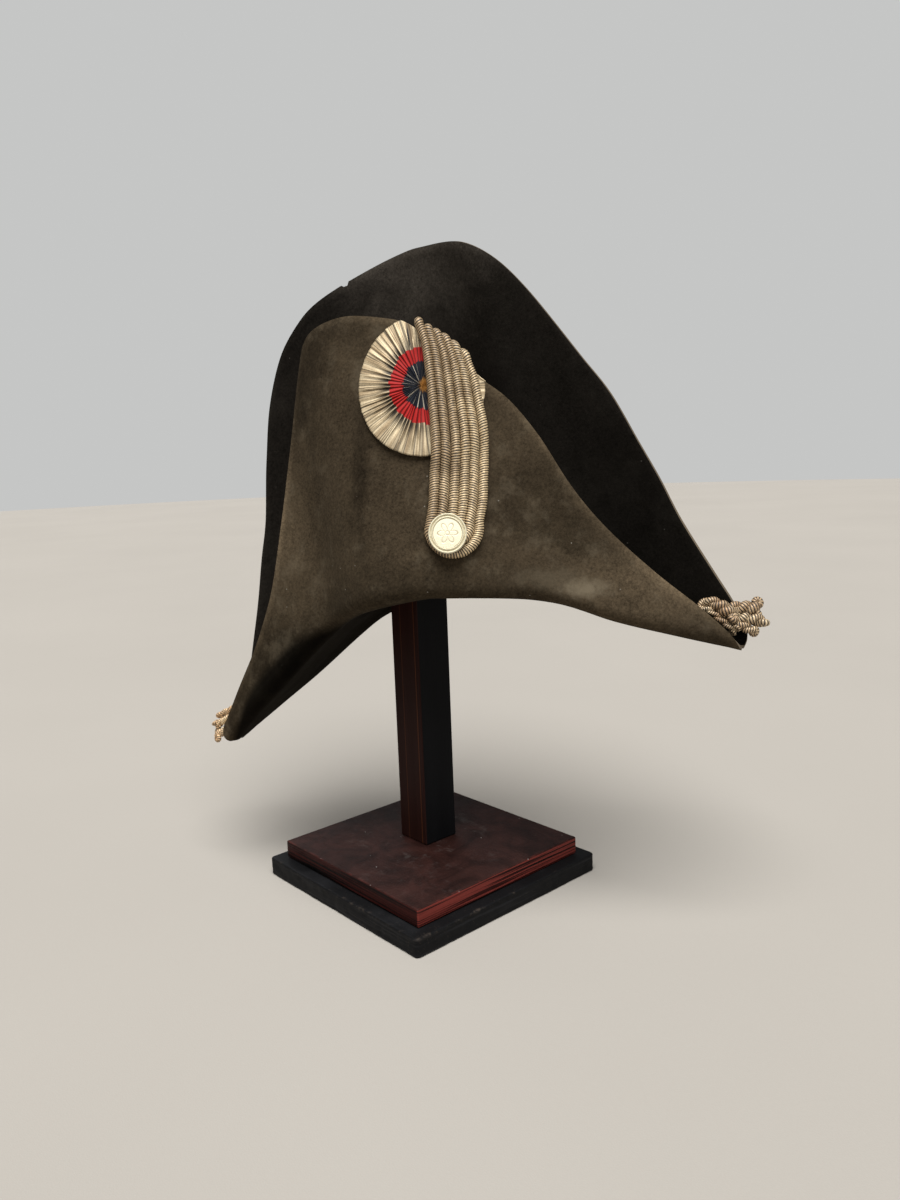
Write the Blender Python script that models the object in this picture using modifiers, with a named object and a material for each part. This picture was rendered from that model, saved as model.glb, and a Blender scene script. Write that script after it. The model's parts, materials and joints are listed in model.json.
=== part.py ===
"""A felt bicorne with its cockade, bullion loops, button and horn tassels, on a plain wooden stand.

The origin is the middle of the stand's underside. The front of the hat faces -Y and its horns lie along X.
All lengths are in metres and all angles in degrees.
"""

import math

import bmesh
import bpy
import numpy as np
from mathutils import Euler, Matrix, Vector

# Stand
LOWER_BOARD_WIDTH = 0.225
LOWER_BOARD_THICKNESS = 0.017
UPPER_BOARD_WIDTH = 0.200
UPPER_BOARD_THICKNESS = 0.017
BOARD_EASING = 0.0015
POST_WIDTH = 0.038
POST_HEIGHT = 0.3705
POST_PLACE = (-0.0045, 0.0090)
POST_EASING = 0.0008
STAND_TURN = -29.3
FIT_GAP = 0.0003
TRIM_GAP = 0.0005

# Hat as it sits on the post
HAT_ROLL = 12.6
HAT_PITCH = 3.8

# Felt
FELT = 0.0028
HALF_SPAN = 0.252
HEAD_HALF_WIDTH = 0.079
HEAD_HALF_DEPTH = 0.094
OPENING_SAG = 0.018
CROWN_HEIGHT = 0.118
BRIM_MARGIN = 0.0146
BRIM_DROP = 0.012
FOLD_RADIUS = 0.012
HORN_DROP = 0.105
FRONT_FLAP_HEIGHT = 0.252
REAR_FLAP_HEIGHT = 0.326
FRONT_LEAN = 0.50
REAR_LEAN = 0.45
NICK_WIDTH = 0.0070
NICK_DEPTH = 0.0032
NICK_SPAN = -0.199

# Trim on the front flap
COCKADE_RADIUS = 0.060
COCKADE_BREADTH = 0.91
COCKADE_THICKNESS = 0.0012
COCKADE_GAP = 0.0012
COCKADE_PLEATS = 36
PLEAT_HEIGHT = 0.0009
CORD_DIAMETER = 0.0081
CORD_TAIL = 0.010
LOOP_FOOT_HEIGHT = 0.046
LOOP_TOP_SHARE = 0.80
CORD_PINCH = 0.84
BUTTON_DIAMETER = 0.0335
BUTTON_THICKNESS = 0.0045
BUTTON_PLACE = (-0.0062, -0.0062)

# Horn tassels
BULLION_DIAMETER = 0.0095

# Plan of the folded brim from its middle to a horn's tip. The first row is the mirror of the third.
# span: share of HALF_SPAN. depth: share of the half depth at the middle, HEAD_HALF_DEPTH + BRIM_MARGIN.
PLAN = (
    (-0.08, 0.981),
    (0.00, 1.000),
    (0.08, 0.981),
    (0.16, 0.912),
    (0.23, 0.800),
    (0.28, 0.697),
    (0.325, 0.607),
    (0.37, 0.548),
    (0.44, 0.516),
    (0.55, 0.478),
    (0.70, 0.396),
    (0.85, 0.281),
    (1.00, 0.129),
)

# Drop of the fold line from the middle of the hat to the horns' tips, from left to right.
# span: share of HALF_SPAN. drop: share of HORN_DROP.
FOLD_LINE = (
    (-1.00, 1.000),
    (-0.82, 0.757),
    (-0.66, 0.551),
    (-0.47, 0.290),
    (-0.33, 0.130),
    (-0.17, 0.047),
    (0.05, 0.037),
    (0.15, 0.075),
    (0.30, 0.178),
    (0.47, 0.327),
    (0.62, 0.542),
    (0.79, 0.748),
    (1.00, 1.000),
)

# Edge of the front flap, from under the left horn's tip to under the right horn's tip. The first and the last
# step cross the horn's open end, from the keel line to the fold.
# span: share of HALF_SPAN. height: share of FRONT_FLAP_HEIGHT above the fold line.
FRONT_EDGE = (
    (-0.990, 0.000),
    (-1.022, 0.000),
    (-1.030, 0.040),
    (-1.002, 0.085),
    (-0.930, 0.112),
    (-0.780, 0.175),
    (-0.682, 0.238),
    (-0.580, 0.345),
    (-0.461, 0.560),
    (-0.358, 0.775),
    (-0.286, 0.912),
    (-0.241, 0.978),
    (-0.180, 1.000),
    (-0.048, 0.992),
    (0.084, 0.950),
    (0.160, 0.928),
    (0.215, 0.880),
    (0.265, 0.837),
    (0.310, 0.790),
    (0.360, 0.745),
    (0.434, 0.684),
    (0.510, 0.575),
    (0.577, 0.437),
    (0.657, 0.325),
    (0.780, 0.205),
    (0.890, 0.118),
    (0.962, 0.046),
    (0.984, 0.000),
    (0.975, 0.000),
)

# Edge of the rear flap, with the same two columns, as shares of HALF_SPAN and REAR_FLAP_HEIGHT.
REAR_EDGE = (
    (-0.990, 0.000),
    (-1.005, 0.000),
    (-0.980, 0.080),
    (-0.917, 0.200),
    (-0.850, 0.316),
    (-0.787, 0.433),
    (-0.730, 0.530),
    (-0.666, 0.680),
    (-0.595, 0.810),
    (-0.500, 0.900),
    (-0.370, 0.942),
    (-0.217, 0.972),
    (-0.045, 0.997),
    (0.130, 1.009),
    (0.266, 1.009),
    (0.350, 0.990),
    (0.432, 0.948),
    (0.510, 0.882),
    (0.587, 0.800),
    (0.657, 0.715),
    (0.726, 0.629),
    (0.785, 0.506),
    (0.829, 0.414),
    (0.870, 0.310),
    (0.941, 0.185),
    (0.985, 0.110),
    (1.008, 0.045),
    (0.989, 0.000),
    (0.975, 0.000),
)

# Crown wall from the head opening to the top.
# reach: share of the opening's half axes. rise: share of CROWN_HEIGHT.
CROWN_PROFILE = (
    (1.000, 0.00),
    (0.985, 0.14),
    (0.960, 0.30),
    (0.920, 0.48),
    (0.850, 0.66),
    (0.740, 0.81),
    (0.580, 0.92),
    (0.380, 0.98),
)

# Place of the cockade's middle on the front flap, as shares of HALF_SPAN and FRONT_FLAP_HEIGHT.
COCKADE_PLACE = (0.1788, 0.6667)

# Middle line of the bullion loops on the front flap, from the foot up.
# along: share of HALF_SPAN from the hat's middle. height: share of FRONT_FLAP_HEIGHT.
LOOP_LINE = (
    (0.203, 0.18),
    (0.227, 0.27),
    (0.251, 0.43),
    (0.262, 0.60),
    (0.268, 0.83),
)

# Bullions of the two tassels, each from its root inside the horn to its free end. The first is the core.
# along: share of HALF_SPAN. across: share of the room beside the bullion, -1 at the front wall.
# lift: height over the channel's floor in BULLION_DIAMETER. size: share of BULLION_DIAMETER.
LEFT_BULLIONS = (
    ((-0.80, 0.0, 0.0, 0.9), (-0.86, 0.0, 0.4, 1.1), (-0.91, 0.0, 1.0, 1.3), (-0.97, 0.0, 1.4, 1.0)),
    ((-0.93, 0.1, 1.5, 0.9), (-1.00, 0.2, 1.8, 0.85), (-1.05, 0.3, 1.5, 0.75), (-1.10, 0.3, 1.1, 0.80)),
    ((-0.93, -0.2, 1.2, 0.9), (-1.01, -0.3, 1.0, 0.80), (-1.06, -0.2, 0.4, 0.80), (-1.10, 0.0, 0.0, 1.0)),
    ((-0.93, 0.3, 1.5, 0.9), (-0.99, 0.6, 2.4, 0.85), (-1.04, 0.7, 2.3, 0.75), (-1.08, 0.7, 2.0, 0.80)),
)
RIGHT_BULLIONS = (
    ((0.78, 0.0, 0.0, 0.9), (0.84, 0.0, 0.5, 1.2), (0.90, 0.0, 1.2, 1.3), (0.96, 0.0, 1.7, 1.1)),
    ((0.875, -0.2, 2.0, 0.7), (0.912, -0.3, 2.9, 0.9), (0.950, -0.4, 2.6, 1.3), (0.985, -0.5, 2.2, 1.1)),
    ((0.87, -0.4, 2.0, 0.5), (0.908, -0.5, 2.1, 0.60), (0.938, -0.6, 1.5, 0.65), (0.975, -0.7, 0.8, 0.65)),
    ((0.93, 0.1, 1.9, 0.9), (0.985, 0.2, 3.0, 0.95), (1.025, 0.5, 3.2, 1.0), (1.052, 0.8, 2.9, 1.15)),
    ((0.94, 0.0, 1.6, 0.9), (0.985, 0.1, 2.0, 1.0), (1.030, 0.3, 1.8, 1.05), (1.058, 0.5, 1.4, 1.1)),
    ((0.95, -0.1, 1.3, 0.8), (0.990, -0.2, 1.5, 0.9), (1.015, -0.1, 1.1, 0.9), (1.033, 0.0, 0.7, 0.85)),
)

# Grid of the felt
FRONT_RIBS = 46
REAR_RIBS = 40
UNDER_ROWS = 3
FOLD_ROWS = 4
WALL_ROWS = 7


def spline(rows, share):
    """Point of a smooth curve through the rows, at a share of the way along them."""
    last = len(rows) - 1
    place = min(max(share, 0.0), 1.0) * last
    index = min(int(place), last - 1)
    t = place - index
    point = []
    for column in range(len(rows[0])):
        b, c = rows[index][column], rows[index + 1][column]
        a = rows[index - 1][column] if index > 0 else 2 * b - c
        d = rows[index + 2][column] if index + 2 <= last else 2 * c - b
        point.append(
            b + 0.5 * t * (c - a + t * (2 * a - 5 * b + 4 * c - d + t * (3 * (b - c) + d - a)))
        )
    return point


def sampled(rows, count=240):
    """The columns of a smooth curve through the rows, read at even shares."""
    return np.array([spline(rows, i / count) for i in range(count + 1)]).T


PLAN_SPANS, PLAN_DEPTHS = sampled(PLAN)
FOLD_SPANS, FOLD_DROPS = sampled(FOLD_LINE)
FRONT_SPANS, FRONT_HEIGHTS = sampled(FRONT_EDGE)


def half_depth(x):
    """Half the brim's depth at the fold: a rounded bulge round the head, running out into the horns."""
    share = float(np.interp(abs(x) / HALF_SPAN, PLAN_SPANS, PLAN_DEPTHS))
    return share * (HEAD_HALF_DEPTH + BRIM_MARGIN)


def fold_radius(x):
    return min(FOLD_RADIUS, 0.6 * half_depth(x))


def fold_height(x):
    """Height of the fold line in the hat's frame."""
    return -BRIM_DROP - HORN_DROP * float(np.interp(x / HALF_SPAN, FOLD_SPANS, FOLD_DROPS))


class Flap:
    """One turned-up side of the brim. Side is -1 for the front and +1 for the rear."""

    def __init__(self, side, height, lean, edge):
        self.side = side
        self.height = height
        self.lean = lean
        self.edge = edge

    def girth_at(self, x, height):
        """Girth from the keel line, round the fold, to a height above the fold line."""
        radius = fold_radius(x)
        flat = half_depth(x) - radius
        if height < radius:
            return flat + radius * math.acos(1 - max(height, 0.0) / radius)
        return flat + radius * math.pi / 2 + height - radius

    def point_at(self, x, girth):
        """Point of the felt's middle surface at a girth from the keel line."""
        half = half_depth(x)
        radius = fold_radius(x)
        flat = half - radius
        arc = radius * math.pi / 2
        if girth <= flat:
            return Vector((x, self.side * girth, fold_height(x)))
        if girth <= flat + arc:
            turn = (girth - flat) / radius
            depth = flat + radius * math.sin(turn)
            return Vector((x, self.side * depth, fold_height(x) + radius * (1 - math.cos(turn))))
        height = radius + girth - flat - arc
        depth = half * (1 - self.lean * (height - radius) / self.height)
        return Vector((x, self.side * depth, fold_height(x) + height))

    def rib(self, share):
        """Stations of one rib, from the head opening to the flap's edge."""
        angle = math.radians(180 * share - 90)
        start_x = HEAD_HALF_WIDTH * math.sin(angle)
        start_girth = HEAD_HALF_DEPTH * math.cos(angle)
        span, edge_height = spline(self.edge, share)
        end_x = span * HALF_SPAN
        steps = len(self.edge) - 1
        end_girth = self.girth_at(end_x, edge_height * self.height)
        end_girth *= min(1.0, steps * share, steps * (1 - share))

        def x_and_girth(t):
            return start_x + (end_x - start_x) * t, start_girth + (end_girth - start_girth) * t

        def crossing(extra, limit):
            """Share of the rib at which its girth passes the fold's start, or its end."""
            for step in range(1, 401):
                t = step / 400
                x, girth = x_and_girth(t)
                radius = fold_radius(x)
                if t >= limit or girth >= half_depth(x) - radius + extra * radius * math.pi / 2:
                    return t
            return limit

        fold_start = crossing(0.0, 0.80)
        fold_end = max(crossing(1.0, 0.90), fold_start + 0.02)
        stations = [fold_start * i / UNDER_ROWS for i in range(1, UNDER_ROWS)]
        stations += [fold_start + (fold_end - fold_start) * i / FOLD_ROWS for i in range(FOLD_ROWS)]
        stations += [fold_end + (1 - fold_end) * i / WALL_ROWS for i in range(WALL_ROWS + 1)]
        opening = opening_height(angle)
        drop = opening - fold_height(start_x)
        points = []
        for t in stations:
            x, girth = x_and_girth(t)
            point = self.point_at(x, girth)
            point.z += drop * max(0.0, 1 - t / fold_start) ** 2
            points.append(point)
        return points

    def crown(self, share):
        """Stations of one rib on the crown, from near its top down to the head opening."""
        angle = math.radians(180 * share - 90)
        opening = opening_height(angle)
        points = []
        for reach, rise in reversed(CROWN_PROFILE):
            x = HEAD_HALF_WIDTH * reach * math.sin(angle)
            y = self.side * HEAD_HALF_DEPTH * reach * math.cos(angle)
            points.append(Vector((x, y, opening * (1 - rise) + CROWN_HEIGHT * rise)))
        return points


def opening_height(angle):
    """The head opening hangs a little lower at the two sides, under the horns."""
    return -OPENING_SAG * math.sin(angle) ** 2


FRONT = Flap(-1, FRONT_FLAP_HEIGHT, FRONT_LEAN, FRONT_EDGE)
REAR = Flap(1, REAR_FLAP_HEIGHT, REAR_LEAN, REAR_EDGE)


def front_edge_height(x):
    """Height of the front flap's edge above the middle of the fold line."""
    rising = np.maximum.accumulate(FRONT_SPANS)
    height = float(np.interp(x / HALF_SPAN, rising, FRONT_HEIGHTS)) * FRONT_FLAP_HEIGHT
    return height + fold_height(x) + BRIM_DROP


def front_middle(x, height):
    """Point of the front flap's middle surface, at a height over the middle of the fold line."""
    above = height - BRIM_DROP - fold_height(x)
    return FRONT.point_at(x, FRONT.girth_at(x, above))


def front_normal(x, height):
    """Outward direction of the front flap."""
    step = 0.002
    across = front_middle(x + step, height) - front_middle(x - step, height)
    upward = front_middle(x, height + step) - front_middle(x, height - step)
    return across.cross(upward).normalized()


def on_front(x, height, proud):
    """Point in front of the front flap, proud of the felt's middle surface."""
    return front_middle(x, height) + front_normal(x, height) * proud


def beside(x, height, reach, proud):
    """X at a distance along the front flap from another X, measured where a piece lies proud of the felt."""
    left = abs(reach)
    here = on_front(x, height, proud)
    while left > 0:
        step = math.copysign(0.002, reach)
        there = on_front(x + step, height, proud)
        length = (there - here).length
        x += step * min(1.0, left / length)
        left -= length
        here = there
    return x


def material(name, colour, roughness, metallic=0.0):
    made = bpy.data.materials.new(name)
    made.use_nodes = True
    shader = made.node_tree.nodes["Principled BSDF"]
    shader.inputs["Base Color"].default_value = (*colour, 1.0)
    shader.inputs["Roughness"].default_value = roughness
    shader.inputs["Metallic"].default_value = metallic
    return made


def collection(name):
    made = bpy.data.collections.new(name)
    bpy.context.scene.collection.children.link(made)
    return made


def place(obj, home, finish, parent=None):
    """Move a new object into its collection, with its material and parent."""
    for old in list(obj.users_collection):
        old.objects.unlink(obj)
    home.objects.link(obj)
    obj.parent = parent
    if finish:
        obj.data.materials.clear()
        obj.data.materials.append(finish)
    return obj


def mesh_object(name, mesh_edit):
    """Object from a bmesh, shaded smooth with its sharp edges kept."""
    mesh = bpy.data.meshes.new(name)
    bmesh.ops.recalc_face_normals(mesh_edit, faces=mesh_edit.faces)
    mesh_edit.to_mesh(mesh)
    mesh_edit.free()
    mesh.shade_smooth()
    mesh.set_sharp_from_angle(angle=math.radians(40))
    return bpy.data.objects.new(name, mesh)


def box(name, width, low, high, easing):
    """Square block standing on the z axis, with eased edges."""
    edit = bmesh.new()
    bmesh.ops.create_cube(edit, size=1.0)
    bmesh.ops.scale(edit, vec=(width, width, high - low), verts=edit.verts)
    bmesh.ops.translate(edit, vec=(0.0, 0.0, (low + high) / 2), verts=edit.verts)
    obj = mesh_object(name, edit)
    bevel = obj.modifiers.new("eased edges", "BEVEL")
    bevel.width = easing
    bevel.segments = 2
    return obj


def loft(edit, rings, closed_top):
    """Faces between rings of points that run the same way, with a fan over the first ring if wanted."""
    rows = [[edit.verts.new(point) for point in ring] for ring in rings]
    count = len(rows[0])
    for upper, lower in zip(rows, rows[1:]):
        for i in range(count):
            edit.faces.new((upper[i], upper[(i + 1) % count], lower[(i + 1) % count], lower[i]))
    if closed_top is not None:
        top = edit.verts.new(closed_top)
        for i in range(count):
            edit.faces.new((rows[0][(i + 1) % count], rows[0][i], top))


def crown_height_at(x, y):
    """Height of the crown's middle surface over a point of the head opening."""
    reach = math.hypot(x / HEAD_HALF_WIDTH, y / HEAD_HALF_DEPTH)
    angle = math.atan2(x / HEAD_HALF_WIDTH, -y / HEAD_HALF_DEPTH)
    reaches = [0.0] + [row[0] for row in reversed(CROWN_PROFILE)]
    rises = [1.0] + [row[1] for row in reversed(CROWN_PROFILE)]
    rise = float(np.interp(reach, reaches, rises))
    return opening_height(angle) * (1 - rise) + CROWN_HEIGHT * rise


def post_corners(turn):
    """The post's four corners where its top is sawn, in the hat's own axes."""
    normal = turn @ Vector((0.0, 0.0, 1.0))
    corners = []
    for quarter in range(4):
        angle = math.radians(STAND_TURN + 45 + 90 * quarter)
        x = POST_WIDTH / math.sqrt(2) * math.cos(angle)
        y = POST_WIDTH / math.sqrt(2) * math.sin(angle)
        z = -(normal.x * x + normal.y * y) / normal.z
        corners.append(turn.inverted() @ Vector((x, y, z)))
    return corners


def hat_seat():
    """Rotation and origin of the hat, so that its crown sits on the post's sawn top."""
    turn = Euler((math.radians(-HAT_PITCH), math.radians(-HAT_ROLL), 0.0)).to_matrix()
    lowest = min(crown_height_at(corner.x, corner.y) for corner in post_corners(turn))
    seat = lowest - FELT / 2 - 2 * FIT_GAP
    top = Vector((*POST_PLACE, LOWER_BOARD_THICKNESS + UPPER_BOARD_THICKNESS + POST_HEIGHT))
    return turn, top, top - turn @ Vector((0.0, 0.0, seat))


def build_stand(home, turn, top):
    """Two boards and the post, whose top is sawn square to the hat's axis."""
    black = material("stained black ply", (0.020, 0.017, 0.015), 0.55)
    red = material("mahogany stained ply", (0.085, 0.022, 0.016), 0.45)
    yaw = math.radians(STAND_TURN)
    lower = box("lower_board", LOWER_BOARD_WIDTH, 0.0, LOWER_BOARD_THICKNESS, BOARD_EASING)
    place(lower, home, black).rotation_euler.z = yaw
    deck = LOWER_BOARD_THICKNESS + UPPER_BOARD_THICKNESS
    upper = box("upper_board", UPPER_BOARD_WIDTH, LOWER_BOARD_THICKNESS + FIT_GAP, deck, BOARD_EASING)
    place(upper, home, red).rotation_euler.z = yaw

    edit = bmesh.new()
    bmesh.ops.create_cube(edit, size=1.0)
    high = top.z + POST_WIDTH
    low = deck + FIT_GAP
    bmesh.ops.scale(edit, vec=(POST_WIDTH, POST_WIDTH, high - low), verts=edit.verts)
    bmesh.ops.translate(edit, vec=(0.0, 0.0, (low + high) / 2), verts=edit.verts)
    unturn = Matrix.Rotation(-yaw, 3, "Z")
    sawn = bmesh.ops.bisect_plane(
        edit,
        geom=edit.verts[:] + edit.edges[:] + edit.faces[:],
        plane_co=(0.0, 0.0, top.z),
        plane_no=unturn @ (turn @ Vector((0.0, 0.0, 1.0))),
        clear_outer=True,
    )
    rim = [item for item in sawn["geom_cut"] if isinstance(item, bmesh.types.BMEdge)]
    bmesh.ops.contextual_create(edit, geom=rim)
    post = mesh_object("post", edit)
    easing = post.modifiers.new("eased edges", "BEVEL")
    easing.width = POST_EASING
    easing.segments = 1
    place(post, home, red)
    post.location = (top.x, top.y, 0.0)
    post.rotation_euler.z = yaw


def build_felt(home, cutters, seat):
    """Crown, brim and both flaps as one hollow felt: ribs from the crown's top to the flaps' edges."""
    felt = material("olive brown felt", (0.070, 0.060, 0.046), 0.92)
    ribs = []
    for i in range(FRONT_RIBS):
        share = i / FRONT_RIBS
        ribs.append(FRONT.crown(share) + FRONT.rib(share))
    for i in range(REAR_RIBS):
        share = 1 - i / REAR_RIBS
        ribs.append(REAR.crown(share) + REAR.rib(share))
    edit = bmesh.new()
    loft(edit, list(zip(*ribs)), Vector((0.0, 0.0, CROWN_HEIGHT)))
    body = place(mesh_object("felt_body", edit), home, felt, seat)
    wall = body.modifiers.new("felt thickness", "SOLIDIFY")
    wall.thickness = FELT
    wall.offset = 0.0

    share = nick_share()
    edge = REAR.rib(share)[-1]
    blade = bmesh.new()
    bmesh.ops.create_cube(blade, size=1.0)
    bmesh.ops.scale(blade, vec=(NICK_WIDTH, 12 * FELT, 2 * NICK_DEPTH), verts=blade.verts)
    tool = place(mesh_object("nick cutter", blade), cutters, None, seat)
    tool.location = edge
    tool.hide_render = True
    tool.display_type = "WIRE"
    nick = body.modifiers.new("nick", "BOOLEAN")
    nick.operation = "DIFFERENCE"
    nick.object = tool


def nick_share():
    """Share of the rear edge at which it passes the nick's span."""
    shares = [i / 400 for i in range(401)]
    spans = [spline(REAR_EDGE, share)[0] for share in shares]
    return float(np.interp(NICK_SPAN, spans, shares))


def cockade_base():
    """How far the cockade's middle surface stands proud of the felt's middle surface."""
    return FELT / 2 + COCKADE_GAP + COCKADE_THICKNESS / 2 + PLEAT_HEIGHT


def cockade_middle():
    """X and height of the cockade's middle."""
    return COCKADE_PLACE[0] * HALF_SPAN, COCKADE_PLACE[1] * FRONT_FLAP_HEIGHT


def build_cockade(home, seat):
    """Pleated disc on the front flap, its rim kept below the flap's edge."""
    ribbon = material("silver ribbon", (0.62, 0.58, 0.50), 0.45, 0.3)
    middle_x, middle_height = cockade_middle()
    columns = 2 * COCKADE_PLEATS
    rings = []
    for reach in (0.10, 0.28, 0.52, 0.76, 1.0):
        ring = []
        for i in range(columns):
            angle = 2 * math.pi * i / columns
            height = middle_height + COCKADE_RADIUS * reach * math.sin(angle)
            across = COCKADE_RADIUS * COCKADE_BREADTH * reach * math.cos(angle)
            x = beside(middle_x, height, across, cockade_base())
            limit = front_edge_height(x) - FIT_GAP - (1 - reach) * COCKADE_RADIUS * 0.05
            pleat = PLEAT_HEIGHT * reach * (1 if i % 2 else -1)
            ring.append(on_front(x, min(height, limit), cockade_base() + pleat))
        rings.append(ring)
    edit = bmesh.new()
    loft(edit, rings, on_front(middle_x, middle_height, cockade_base()))
    disc = place(mesh_object("cockade", edit), home, ribbon, seat)
    thick = disc.modifiers.new("ribbon thickness", "SOLIDIFY")
    thick.thickness = COCKADE_THICKNESS
    thick.offset = 0.0


def loop_share(height):
    """Thickness and spacing of the cords at a height, as a share of those at the foot."""
    share = min(max(height / FRONT_FLAP_HEIGHT - 0.36, 0.0) / 0.44, 1.0)
    return 1 - (1 - LOOP_TOP_SHARE) * share * share * (3 - 2 * share)


def cord_proud(x, height):
    """Height of a cord's axis over the felt's middle surface: on the felt, or raised over the cockade."""
    on_felt = FELT / 2 + TRIM_GAP + CORD_DIAMETER / 2 * loop_share(height)
    lift = cockade_base() + PLEAT_HEIGHT + COCKADE_THICKNESS / 2 - FELT / 2
    middle = on_front(*cockade_middle(), cockade_base())
    distance = (front_middle(x, height) - middle).length
    ramp = 2.5 * CORD_DIAMETER
    share = min(max((COCKADE_RADIUS + ramp - distance) / ramp, 0.0), 1.0)
    return on_felt + lift * share * share * (3 - 2 * share)


def loop_x(height):
    """X of the loops' middle line at a height."""
    spans, shares = sampled(LOOP_LINE, 60)
    return float(np.interp(height / FRONT_FLAP_HEIGHT, shares, spans)) * HALF_SPAN


def strand_point(height, reach):
    """Point on the axis of a strand, at its distance from the loops' middle line, and its X on the felt."""
    middle = loop_x(height)
    x = beside(middle, height, reach * loop_share(height), cord_proud(middle, height))
    return on_front(x, height, cord_proud(x, height)), x


def strand(reach):
    """Route of one strand, from the foot's level up the front, over the flap's edge and down behind it.

    The second list holds the strand's thickness, as shares of the cord's diameter. It is pinched behind the flap.
    """
    top = FRONT_FLAP_HEIGHT * 0.8
    margin = CORD_DIAMETER / 2 * LOOP_TOP_SHARE + TRIM_GAP
    for _ in range(12):
        x = strand_point(top, reach)[1]
        top = max(front_edge_height(x - margin), front_edge_height(x), front_edge_height(x + margin))
    count = int((top - LOOP_FOOT_HEIGHT) / 0.011)
    heights = [LOOP_FOOT_HEIGHT + (top - LOOP_FOOT_HEIGHT) * i / count for i in range(count + 1)]
    route = [strand_point(height, reach)[0] for height in heights]
    sizes = [loop_share(height) for height in heights]
    edge = front_middle(x, top)
    normal = front_normal(x, top)
    upward = (edge - front_middle(x, top - 0.002)).normalized()
    front_reach = cord_proud(x, top)
    behind_reach = FELT / 2 + TRIM_GAP + CORD_DIAMETER / 2 * loop_share(top)
    for degrees in (22, 45, 67, 90, 113, 135, 158):
        turn = math.radians(degrees)
        out = front_reach if degrees < 90 else behind_reach
        rise = (behind_reach - FELT / 2) * math.sin(turn)
        route.append(edge + normal * out * math.cos(turn) + upward * rise)
    for drop in (0.0, 0.5, 1.0):
        route.append(edge - normal * behind_reach - upward * CORD_TAIL * drop)
    pinched = loop_share(top) * CORD_PINCH
    return route, sizes + [loop_share(top)] * 4 + [pinched] * 6


def loop_route(reach):
    """One U-shaped cord: up the left strand and the right one, with the foot's half circle between them.

    The second list holds its thickness, as shares of the cord's diameter.
    """
    foot = []
    count = max(5, int(math.pi * reach / 0.006))
    for i in range(1, count):
        turn = math.pi * i / count
        height = LOOP_FOOT_HEIGHT - reach * math.sin(turn)
        middle = loop_x(LOOP_FOOT_HEIGHT)
        x = beside(middle, height, -reach * math.cos(turn), cord_proud(middle, height))
        foot.append(on_front(x, height, cord_proud(x, height)))
    left, left_sizes = strand(-reach)
    right, right_sizes = strand(reach)
    return left[::-1] + foot + right, left_sizes[::-1] + [1.0] * len(foot) + right_sizes


def tube(name, route, diameter, sizes=None):
    """Round cord along a route, with closed ends. Sizes are shares of the diameter, one for each point."""
    curve = bpy.data.curves.new(name, "CURVE")
    curve.dimensions = "3D"
    line = curve.splines.new("POLY")
    line.points.add(len(route) - 1)
    for index, where in enumerate(route):
        line.points[index].co = (*where, 1.0)
        line.points[index].radius = sizes[index] if sizes else 1.0
    curve.bevel_depth = diameter / 2
    curve.bevel_resolution = 2
    curve.use_fill_caps = True
    return bpy.data.objects.new(name, curve)


def build_loops(home, seat):
    gold = material("aged bullion", (0.33, 0.25, 0.15), 0.5, 0.4)
    pitch = CORD_DIAMETER + TRIM_GAP
    for index, name in enumerate(("inner", "middle", "outer")):
        route, sizes = loop_route(pitch * (index + 0.5))
        cord = tube(f"loop_cord_{name}", route, CORD_DIAMETER, sizes)
        place(cord, home, gold, seat)


def build_button(home, seat):
    """Domed button lying on the cords at their foot."""
    silver = material("silvered metal", (0.72, 0.68, 0.58), 0.35, 0.9)
    x = loop_x(LOOP_FOOT_HEIGHT) + BUTTON_PLACE[0]
    height = LOOP_FOOT_HEIGHT + BUTTON_PLACE[1]
    radius = BUTTON_DIAMETER / 2
    profile = (
        (0.0, 1.00),
        (0.45, 0.97),
        (0.78, 0.84),
        (0.80, 0.74),
        (0.93, 0.74),
        (1.00, 0.50),
        (0.98, 0.10),
        (0.90, 0.00),
        (0.0, 0.00),
    )
    edit = bmesh.new()
    verts = [edit.verts.new((radius * reach, 0.0, BUTTON_THICKNESS * rise)) for reach, rise in profile]
    for a, b in zip(verts, verts[1:]):
        edit.edges.new((a, b))
    mesh = bpy.data.meshes.new("button")
    edit.to_mesh(mesh)
    edit.free()
    button = place(bpy.data.objects.new("button", mesh), home, silver, seat)
    screw = button.modifiers.new("turned", "SCREW")
    screw.steps = 32
    screw.render_steps = 32
    screw.use_merge_vertices = True
    screw.merge_threshold = 0.00005
    proud = FELT / 2 + TRIM_GAP + CORD_DIAMETER + FIT_GAP
    button.location = on_front(x, height, proud)
    button.rotation_euler = front_normal(x, height).to_track_quat("Z", "Y").to_euler()


def bullion(name, rows):
    """One bullion of a tassel, laid in the horn's channel and rounded off at its free end."""
    route = []
    sizes = []
    count = 9
    for i in range(count + 1):
        along, across, lift, size = spline(rows, i / count)
        x = along * HALF_SPAN
        room = half_depth(x) - FELT / 2 - FIT_GAP - BULLION_DIAMETER / 2
        steepness = (fold_height(x + 0.005) - fold_height(x - 0.005)) / 0.010
        floor = fold_height(x) + (FELT / 2 + FIT_GAP + BULLION_DIAMETER / 2) * math.hypot(1.0, steepness)
        route.append(Vector((x, across * room, floor + lift * BULLION_DIAMETER)))
        sizes.append(size)
    onward = (route[-1] - route[-2]).normalized()
    route.append(route[-1] + onward * BULLION_DIAMETER * 0.4)
    sizes.append(sizes[-1] * 0.55)
    curve = tube("bullion route", route, BULLION_DIAMETER, sizes)
    mesh = bpy.data.meshes.new_from_object(curve)
    bpy.data.objects.remove(curve)
    return bpy.data.objects.new(name, mesh)


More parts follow.
